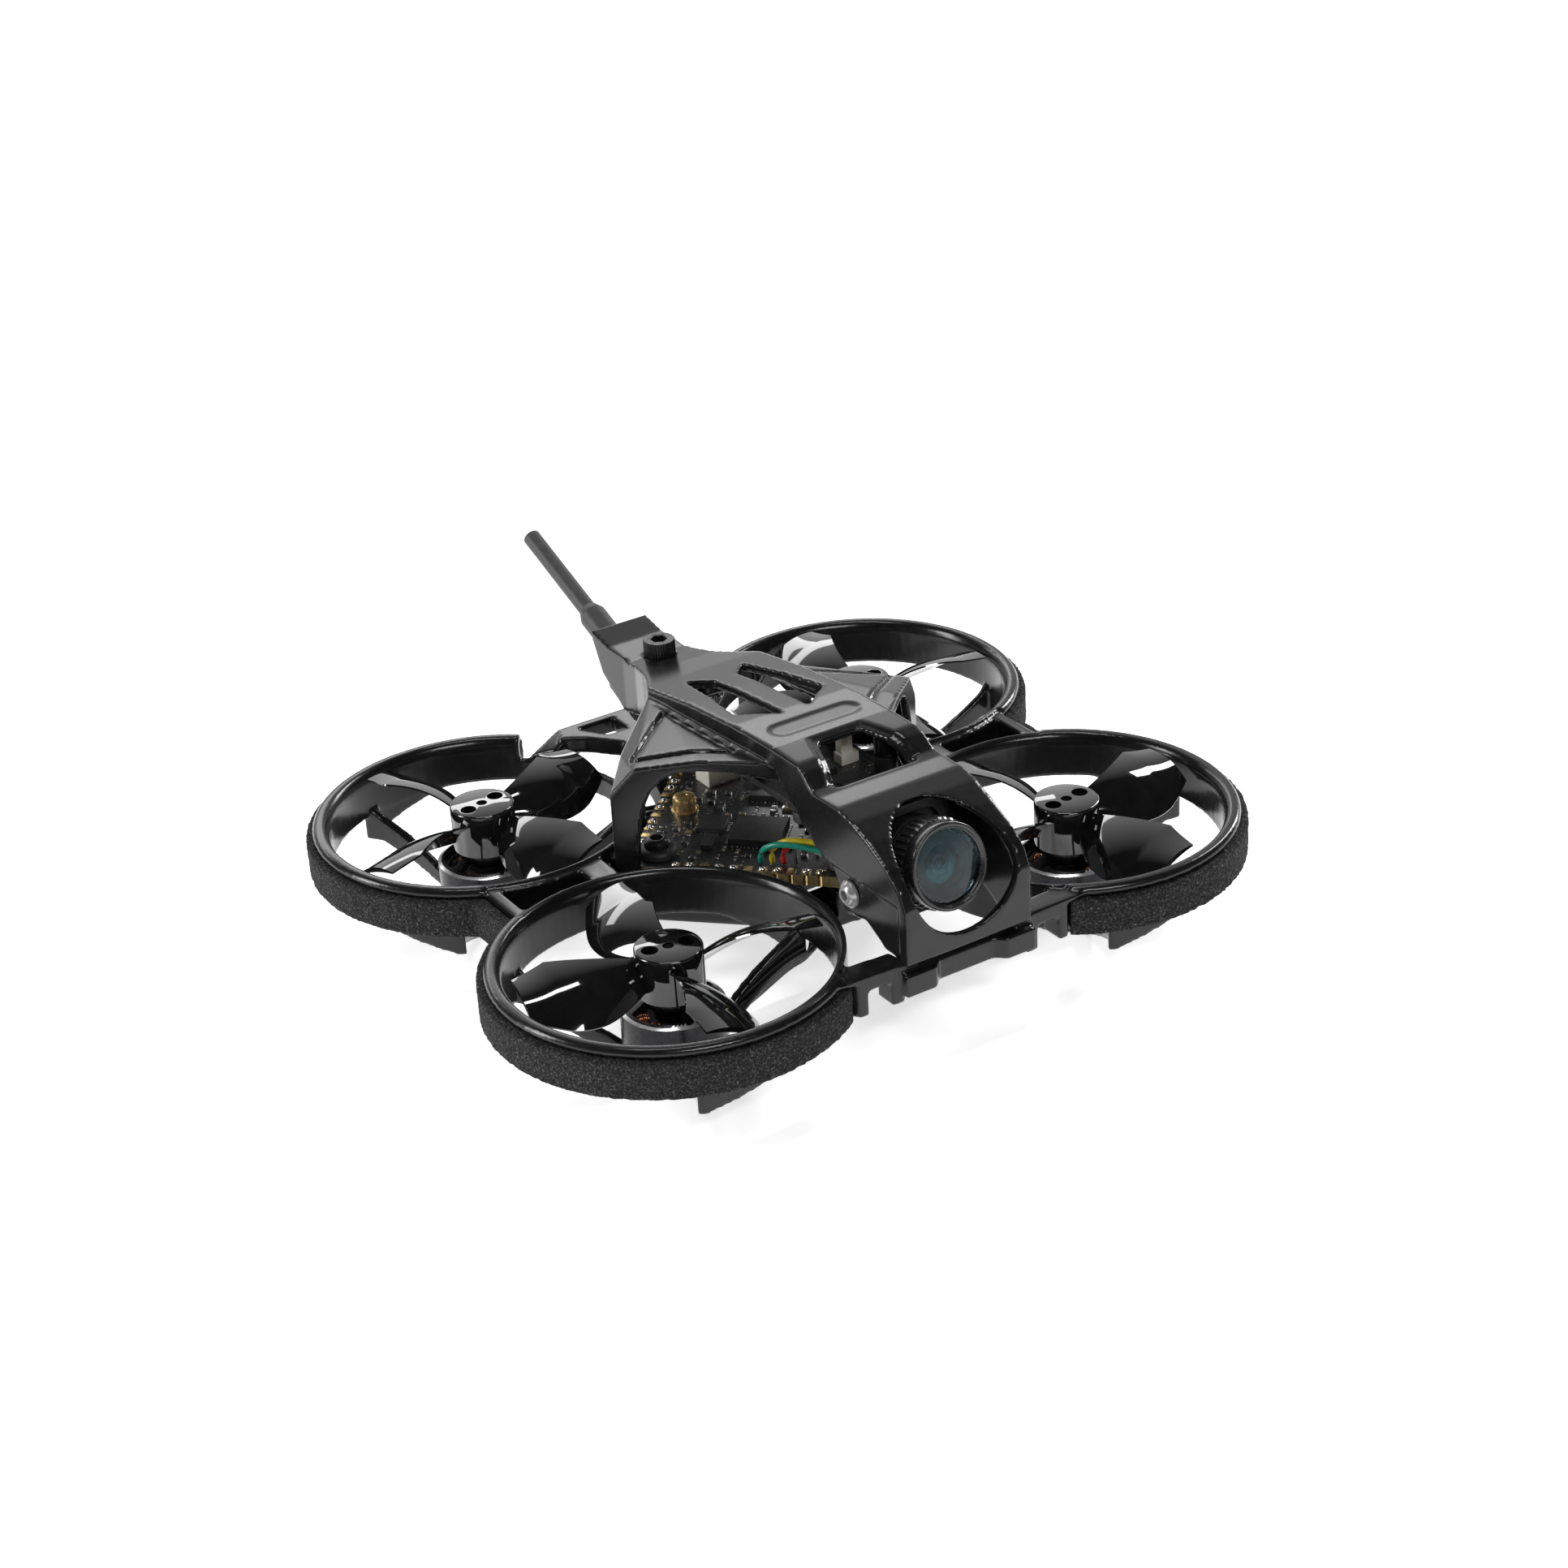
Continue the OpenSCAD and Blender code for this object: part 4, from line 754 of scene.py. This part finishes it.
def add_small_parts():
    """Resistors and capacitors with bright ends, strewn where no larger part stands."""
    dice = random.Random(20)
    shape = Shape()
    around_part, around_hole, at_edge = 0.5, 3.4, 2.6
    taken = [(*board_uv(x, y), max(w, d) / 2 + around_part) for x, y, w, d in KEEP_OUT]
    taken += [(*board_uv(BOARD_HOLE * math.cos(a), BOARD_HOLE * math.sin(a)), around_hole)
              for a in (0, math.pi / 2, math.pi, 3 * math.pi / 2)]
    limit = BOARD_SIDE / 2 - at_edge
    for _ in range(SMALL_PART_TRIES):
        u, v = dice.uniform(-limit, limit), dice.uniform(-limit, limit)
        big = dice.random() < 0.3
        turn = 90 * dice.randrange(2)
        shade = dice.choice((0, 0, 0, 1))
        long, wide, high = (1.5, 0.8, 0.5) if big else (0.95, 0.5, 0.35)
        if any(math.hypot(u - a, v - b) < r + long * 0.6 for a, b, r in taken):
            continue
        taken.append((u, v, long * 0.62))
        spot = on_board(u, v, turn)
        shape.add(block((long * 0.56, wide, high), 0.05), shade, spot)
        for end in (-1, 1):
            shape.add(block((long * 0.22, wide * 1.04, high * 1.04), 0.05), 3,
                      spot @ Matrix.Translation((end * long * 0.39, 0, 0)))
    make(shape, "board_small_parts", ["chip_black", "board_edge", "socket_ivory", "solder"],
         AIRFRAME)


def add_board_fittings():
    low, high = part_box("crystal_can")
    centre = (low + high) / 2 / MM
    shape = Shape()
    top = (high.z - low.z) / MM
    can = [(1.9, 0), (1.9, 0.25), (1.62, 0.32), (1.6, top - 0.35), (1.5, top - 0.12), (1.25, top),
           (0.5, top), (0.46, top - 0.08), (0.02, top - 0.08)]
    shape.add(lathe(can, 40), 0, Matrix.Translation((centre.x, centre.y, low.z / MM)))
    make(shape, "gold_can_part", ["gold_can"], AIRFRAME, ["crystal_can"])

    # each grommet narrows upwards and wraps the board's edge in a waist
    shape = Shape()
    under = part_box("board_grommets")[0].z / MM
    bottom = BOARD_TOP - BOARD_THICK
    grommet_top = BOARD_TOP + 1.3
    profile = [(1.06, under + 0.05), (2.55, under), (2.7, under + 0.15), (2.7, bottom - 0.15), (2.55, bottom),
               (2.0, bottom + 0.02), (2.0, BOARD_TOP - 0.02), (2.55, BOARD_TOP), (2.7, BOARD_TOP + 0.2),
               (2.62, BOARD_TOP + 0.75), (2.35, BOARD_TOP + 1.15), (1.9, grommet_top), (1.06, grommet_top)]
    holes = [turn_about_z(90 * quarter) @ Matrix.Translation((BOARD_HOLE, 0, 0)) for quarter in range(4)]
    for spot in holes:
        shape.add(lathe(profile, 40, closed=True), 0, spot)
    make(shape, "rubber_grommets", ["soft_rubber"], AIRFRAME, ["board_grommets"])

    shape = Shape()
    for spot in holes:
        shape.add(socket_head(1.75, 1.2, 0.75, 0.6, dome=0.4, sides=72), 0,
                  spot @ Matrix.Translation((0, 0, grommet_top)))
        shape.add(pin(0.84, 0.6, BOARD_TOP + 1.35, 24), 0, spot)
    make(shape, "board_bolts", ["black_steel"], AIRFRAME, ["board_screws"])


# ---------------------------------------------------------------- leads

def loose_tubes(work):
    """The points of each tube that touches no other, from the drone's right to its left."""
    work.verts.index_update()
    seen = set()
    groups = []
    for vertex in work.verts:
        if vertex.index in seen:
            continue
        stack, group = [vertex], []
        seen.add(vertex.index)
        while stack:
            v = stack.pop()
            group.append(v)
            for e in v.link_edges:
                other = e.other_vert(v)
                if other.index not in seen:
                    seen.add(other.index)
                    stack.append(other)
        groups.append(group)
    return sorted(groups, key=lambda g: min(v.co.x for v in g))


def softened(node, name, looks):
    """CAD tubes made round by subdivision. Where there are several looks, each tube has its own."""
    work = copied(node)
    for i, group in enumerate(loose_tubes(work)):
        for v in group:
            for face in v.link_faces:
                face.material_index = i if len(looks) > 1 else 0
    bmesh.ops.join_triangles(work, faces=work.faces, angle_face_threshold=0.6, angle_shape_threshold=3.14)
    piece = link(bpy.data.objects.new("work", as_mesh(work, "work")))
    piece.modifiers.new("round", "SUBSURF").levels = 1
    mesh = evaluated(piece)
    smooth(mesh, None)
    mesh.name = name
    return put(mesh, name, looks, AIRFRAME, [node])


def add_leads():
    softened("camera_leads", "camera_wires", list(LEAD_COLOURS))
    softened("motor_leads", "motor_wires", ["lead_black"])
    softened("antenna_lead", "antenna_coax", ["lead_black"])


# ---------------------------------------------------------------- motors

SHAFTS = {corner: sum(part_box("shaft_" + corner), Vector()) / 2 / MM for corner in CORNERS}
COIL_Z = -1.7
TEETH = 9
# The bell's top outside this radius and above this height is the bare machined ring
RING_R = 6.15
RING_Z = 1.0


def add_coils():
    """Wire wound round every tooth of the four stators."""
    turns, per_turn, wire = 6, 14, 0.14
    shape = Shape()
    for corner in CORNERS:
        for tooth in range(TEETH):
            path = []
            for k in range(turns * per_turn + 1):
                t = 2 * math.pi * k / per_turn
                share = k / (turns * per_turn)
                half_w = 0.52 + 0.16 * share
                half_h = 1.62 + 0.24 * math.sin(math.pi * share)
                c, s = math.cos(t), math.sin(t)
                swell = (abs(c) ** 4 + abs(s) ** 4) ** -0.25
                path.append((3.2 + 1.55 * share, half_w * c * swell, COIL_Z + half_h * s * swell))
            turn = place(SHAFTS[corner].x, SHAFTS[corner].y, 0, 360 / TEETH * tooth)
            shape.add(tube(path, wire, 6), 0, turn)
    make(shape, "wound_coils", ["copper_wire"], AIRFRAME, ["stator_windings"], sharp=None)


def add_motors():
    edged("motor_bases", 0.1, "black_aluminium", AIRFRAME)
    edged("motor_screws", 0.08, "screw_steel", AIRFRAME)
    add_coils()
    for corner in CORNERS:
        centre = SHAFTS[corner]

        def ring_or_bell(p, normal, centre=centre):
            reach = math.hypot(p.x - centre.x, p.y - centre.y)
            return 1 if reach > RING_R and p.z > RING_Z and normal.z > 0.25 else 0
        edged("bell_" + corner, 0.09, "bell_anodised", "rotor_" + corner, ["bell_anodised", "bare_aluminium"],
              ring_or_bell)
        edged("prop_screws_" + corner, 0.06, "black_steel", "rotor_" + corner)


# ---------------------------------------------------------------- propellers

PROP_R = 19.6
HUB_R = 4.38
HUB_LOW = 3.0
HUB_HIGH = 9.5
BLADE_ROOT = 3.9
# Where along the blade its tip starts to narrow, and by how much the tip is narrower
BLADE_BEND = 5 / 7
TIP_CUT = 3.2
BLADE_T = 0.7


def blade(stations=35, ribs=16):
    """One blade, a bowed sheet, by the rules of the CAD blade."""
    loops = []
    for i in range(stations + 1):
        s = i / stations
        cut = TIP_CUT * max(0, s - BLADE_BEND) / (1 - BLADE_BEND)
        chord = 4.5 + 6 * math.sin(math.pi / 2 * min(1, s / BLADE_BEND)) - cut
        pitch = math.radians(46 - 26 * s)
        sweep = -1.8 * math.sin(math.pi * s) + 1.4 * s * s - cut / 2
        lift = 6.3 + 0.9 * s
        reach = BLADE_ROOT + (PROP_R - BLADE_ROOT) * s
        loop = []
        for half, order in ((0.5, range(ribs + 1)), (-0.5, range(ribs, -1, -1))):
            for j in order:
                c = j / ribs
                w = (c - 0.5) * chord
                arch = 1 - (2 * c - 1) ** 2
                lifted = 0.09 * chord * arch + half * BLADE_T * (1 - 0.65 * (2 * c - 1) ** 2)
                loop.append((reach, sweep + w * math.cos(pitch) - lifted * math.sin(pitch),
                             lift + w * math.sin(pitch) + lifted * math.cos(pitch)))
        loops.append(loop)
    return rings(loops)


def hub():
    edge, core = 0.22, 0.5
    profile = [(core, HUB_LOW), (HUB_R - edge, HUB_LOW), (HUB_R, HUB_LOW + edge), (HUB_R, HUB_HIGH - edge),
               (HUB_R - 0.35 * edge, HUB_HIGH - 0.35 * edge), (HUB_R - edge, HUB_HIGH), (core, HUB_HIGH)]
    return lathe(profile, 96)


def loose(solid, name):
    """Temporary object in millimetres with its faces turned outwards."""
    points, faces = solid
    mesh = bpy.data.meshes.new(name)
    mesh.from_pydata([Vector(p) for p in points], [], faces)
    work = bmesh.new()
    work.from_mesh(mesh)
    bmesh.ops.recalc_face_normals(work, faces=work.faces)
    work.to_mesh(mesh)
    work.free()
    return link(bpy.data.objects.new(name, mesh))


def cut_or_join(base, other, operation):
    step = base.modifiers.new(operation, "BOOLEAN")
    step.operation = operation
    step.solver = "EXACT"
    step.object = other
    other.hide_render = True
    return other


# Holes in the hub as (x, radius, bottom): the shaft, two screw heads and two screw shanks
HUB_HOLES = [(0, 0.75, 2.0), (-2.5, 1.1, 7.1), (2.5, 1.1, 7.1), (-2.5, 0.68, 2.0), (2.5, 0.68, 2.0)]
HOLE_TOP = 12.0


def propeller_mesh():
    """Hub and blades joined into one mesh, in millimetres round the shaft."""
    base = loose(hub(), "hub")
    others = []
    for quarter in range(4):
        one = loose(blade(), "blade")
        one.data.transform(Matrix.Rotation(math.radians(90 * quarter), 4, "Z"))
        others.append(cut_or_join(base, one, "UNION"))
    for x, r, low in HUB_HOLES:
        drill = loose(lathe([(r, low), (r, HOLE_TOP)], 32), "drill")
        drill.data.transform(Matrix.Translation((x, 0, 0)))
        others.append(cut_or_join(base, drill, "DIFFERENCE"))
    mesh = evaluated(base)
    for other in others:
        bpy.data.objects.remove(other)
    return mesh


def add_propellers():
    pattern = propeller_mesh()
    for corner, (side, end, angle) in CORNERS.items():
        mesh = pattern.copy()
        mesh.name = "blades_" + corner
        centre = SHAFTS[corner]
        move = place(centre.x, centre.y, 0, angle)
        mirrored = side == end
        if mirrored:
            move = move @ Matrix.Scale(-1, 4, (0, 1, 0))
        mesh.transform(Matrix.Scale(MM, 4) @ move)
        if mirrored:
            mesh.flip_normals()
        smooth(mesh, 38)
        put(mesh, mesh.name, ["propeller_gloss"], "rotor_" + corner,
            ["propeller_" + corner])


# ---------------------------------------------------------------- camera and lens

LENS_TILT = math.radians(-15)
LENS_Z = 1.95
LENS_FRONT = 9.3
RING_LOW, RING_HIGH = 4.4, 7.2
RING_TEETH = 40
# Turned parts are drawn with z forwards along the lens, and the front glass at its far end
LENS_AXIS = (Matrix.Translation(HOOD_SCREW) @ Matrix.Rotation(LENS_TILT, 4, "X")
             @ Matrix.Translation((0, 0, LENS_Z)) @ Matrix.Rotation(math.radians(90), 4, "X"))


def lens_part(profile, name, look, nodes=(), sides=96, closed=True, sharp=40, shapes=None):
    """Turned part on the lens axis."""
    make(Shape().add(lathe(profile, sides, closed, shapes), 0, LENS_AXIS), name, [look], CAMERA, nodes,
         sharp)


def add_lens():
    # bezel: a thin bright rim, a shallow cone and a groove
    front = LENS_FRONT
    back = front - 2.0
    bezel = [(5.2, back), (5.5, back), (5.64, back + 0.15), (5.64, front - 0.25), (5.58, front - 0.1),
             (5.45, front), (5.12, front), (5.02, front - 0.08), (4.92, front - 0.3), (4.78, front - 0.36),
             (4.76, front - 1.3), (5.2, front - 1.3)]
    lens_part(bezel, "lens_rim", "bezel_black", ["lens_bezel"], sides=128, sharp=50)

    # front element, over black rings that step down to the pupil
    glass = [(0.02, 8.0), (4.72, 8.0)]
    glass += [(4.74 * k / 10, front - 0.1 - 0.55 * (k / 10) ** 2) for k in range(10, 0, -1)]
    glass.append((0.02, front - 0.1))
    lens_part(glass, "front_element", "lens_glass", ["front_glass"], closed=False)

    steps = 3
    rim, pupil = 4.1, 1.15
    baffle = [(4.18, 6.45), (4.18, 7.9)]
    for k in range(steps):
        r = rim - (rim - pupil) * k / steps
        z = 7.85 - 1.1 * (k / steps) ** 0.8
        baffle += [(r, z), (r - 0.06, z - 0.1)]
    baffle += [(1.1, 6.6), (1.1, 6.45)]
    lip = [(1.12, 6.5), (1.3, 6.62), (1.3, 6.88), (1.2, 6.96), (1.0, 6.96), (0.9, 6.86), (0.9, 6.5)]
    shape = Shape().add(lathe(baffle, 96, closed=True), 0, LENS_AXIS)
    shape.add(lathe(lip, 64, closed=True), 1, LENS_AXIS)
    make(shape, "lens_baffle", ["camera_plastic", "pupil_lip"], CAMERA, sharp=30)

    # coated element between the pupil and the front glass
    reach, crown, edge, thick = 2.6, 7.85, 7.05, 0.12
    element = [(reach, edge - thick)]
    element += [(reach * k / 10, crown - (crown - edge) * (k / 10) ** 2) for k in range(10, 0, -1)]
    element += [(0.02, crown), (0.02, crown - thick)]
    element += [(reach * k / 10, crown - thick - (crown - edge) * (k / 10) ** 2) for k in range(1, 10)]
    lens_part(element, "coated_element", "coated_glass", sides=64)

    inner = [(0.02, 4.6), (2.96, 4.6), (2.96, 5.6), (1.0, 6.3)]
    inner += [(0.9 * k / 6, 6.3 + 0.42 * (1 - (k / 6) ** 2)) for k in range(6, 0, -1)] + [(0.02, 6.72)]
    lens_part(inner, "pupil_lens", "sensor_glass", ["inner_lens"], sides=64, closed=False,
              sharp=38)

    # focus ring with square teeth
    def toothed(r, t):
        return r - (0.26 if math.sin(t * RING_TEETH) > 0 else 0)
    low, high = RING_LOW, RING_HIGH
    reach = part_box("focus_ring")[1].x / MM
    knurl = [(5.22, low), (reach - 0.25, low), (reach, low + 0.3), (reach, high - 0.3), (reach - 0.25, high),
             (5.22, high)]
    lens_part(knurl, "knurled_ring", "bezel_black", ["focus_ring"], sides=320, sharp=25,
              shapes={2: toothed, 3: toothed})


def add_camera_body():
    edged("camera_case", 0.25, "camera_plastic", CAMERA, segments=3)
    edged("lens_barrel", 0.1, "bezel_black", CAMERA)
    edged("camera_board", 0.08, "circuit_board", CAMERA)
    edged("image_sensor", 0.06, "sensor_glass", CAMERA)


def lens_glass(name, **values):
    """Clear glass with a faint blue body."""
    look = plain(name, Transmission_Weight=1.0, **values)
    shader = look.node_tree.nodes["Principled BSDF"]
    links = look.node_tree.links
    spot = coordinates(look)
    sheen = clouds(look, spot, 260.0, detail=1.0)
    links.new(ramp_of(look, sheen, [(0.3, (0.42, 0.6, 0.66)), (0.7, (0.55, 0.7, 0.78))]),
              shader.inputs["Base Color"])
    links.new(ranged(look, clouds(look, spot, 500.0), 0.0, 0.006), shader.inputs["Roughness"])
    return look


LOOKS["lens_glass"] = lens_glass("lens_glass", IOR=1.4)
LOOKS["coated_glass"] = lens_glass("coated_glass", IOR=1.55, Specular_Tint=(0.2, 0.95, 0.85, 1))
LOOKS["pupil_lip"] = finish("pupil_lip", [grey(0.2), grey(0.3)], (0.25, 0.35))


# ---------------------------------------------------------------- everything else

def add_small_nodes():
    """CAD nodes whose shape is right: their hard edges are rounded."""
    edged("tail_standoff", 0.08, "black_aluminium", AIRFRAME)
    edged("board_sockets", 0.12, "socket_ivory", AIRFRAME)
    edged("usb_port", 0.22, "plated_steel", AIRFRAME)
    edged("video_board", 0.08, "circuit_board", AIRFRAME)
    edged("video_parts", 0.1, "chip_black", AIRFRAME)
    edged("video_dampers", 0.15, "soft_rubber", AIRFRAME)
    edged("white_socket", 0.1, "socket_ivory", AIRFRAME)
    edged("capacitor", 0.25, "sleeve_black", AIRFRAME, segments=3)
    edged("antenna_tube", 0.15, "heat_shrink", AIRFRAME, segments=3)
    edged("antenna_collar", 0.35, "heat_shrink", AIRFRAME, segments=4)


def paint_the_rest():
    """Materials on the CAD nodes that stay as they are."""
    inner = {"motor_bearings": "plated_steel", "stator_cores": "lamination"}
    for corner in CORNERS:
        inner["magnets_" + corner] = "magnet_nickel"
        inner["shaft_" + corner] = "screw_steel"
    for node, look in inner.items():
        obj = NODES[node]
        obj.data.materials.clear()
        obj.data.materials.append(LOOKS[look])


add_camera()
add_floor()
add_light()
add_frame()
add_canopy()
add_foam()
add_screws()
add_board()
add_board_fittings()
add_leads()
add_motors()
add_propellers()
add_lens()
add_camera_body()
add_small_nodes()
paint_the_rest()
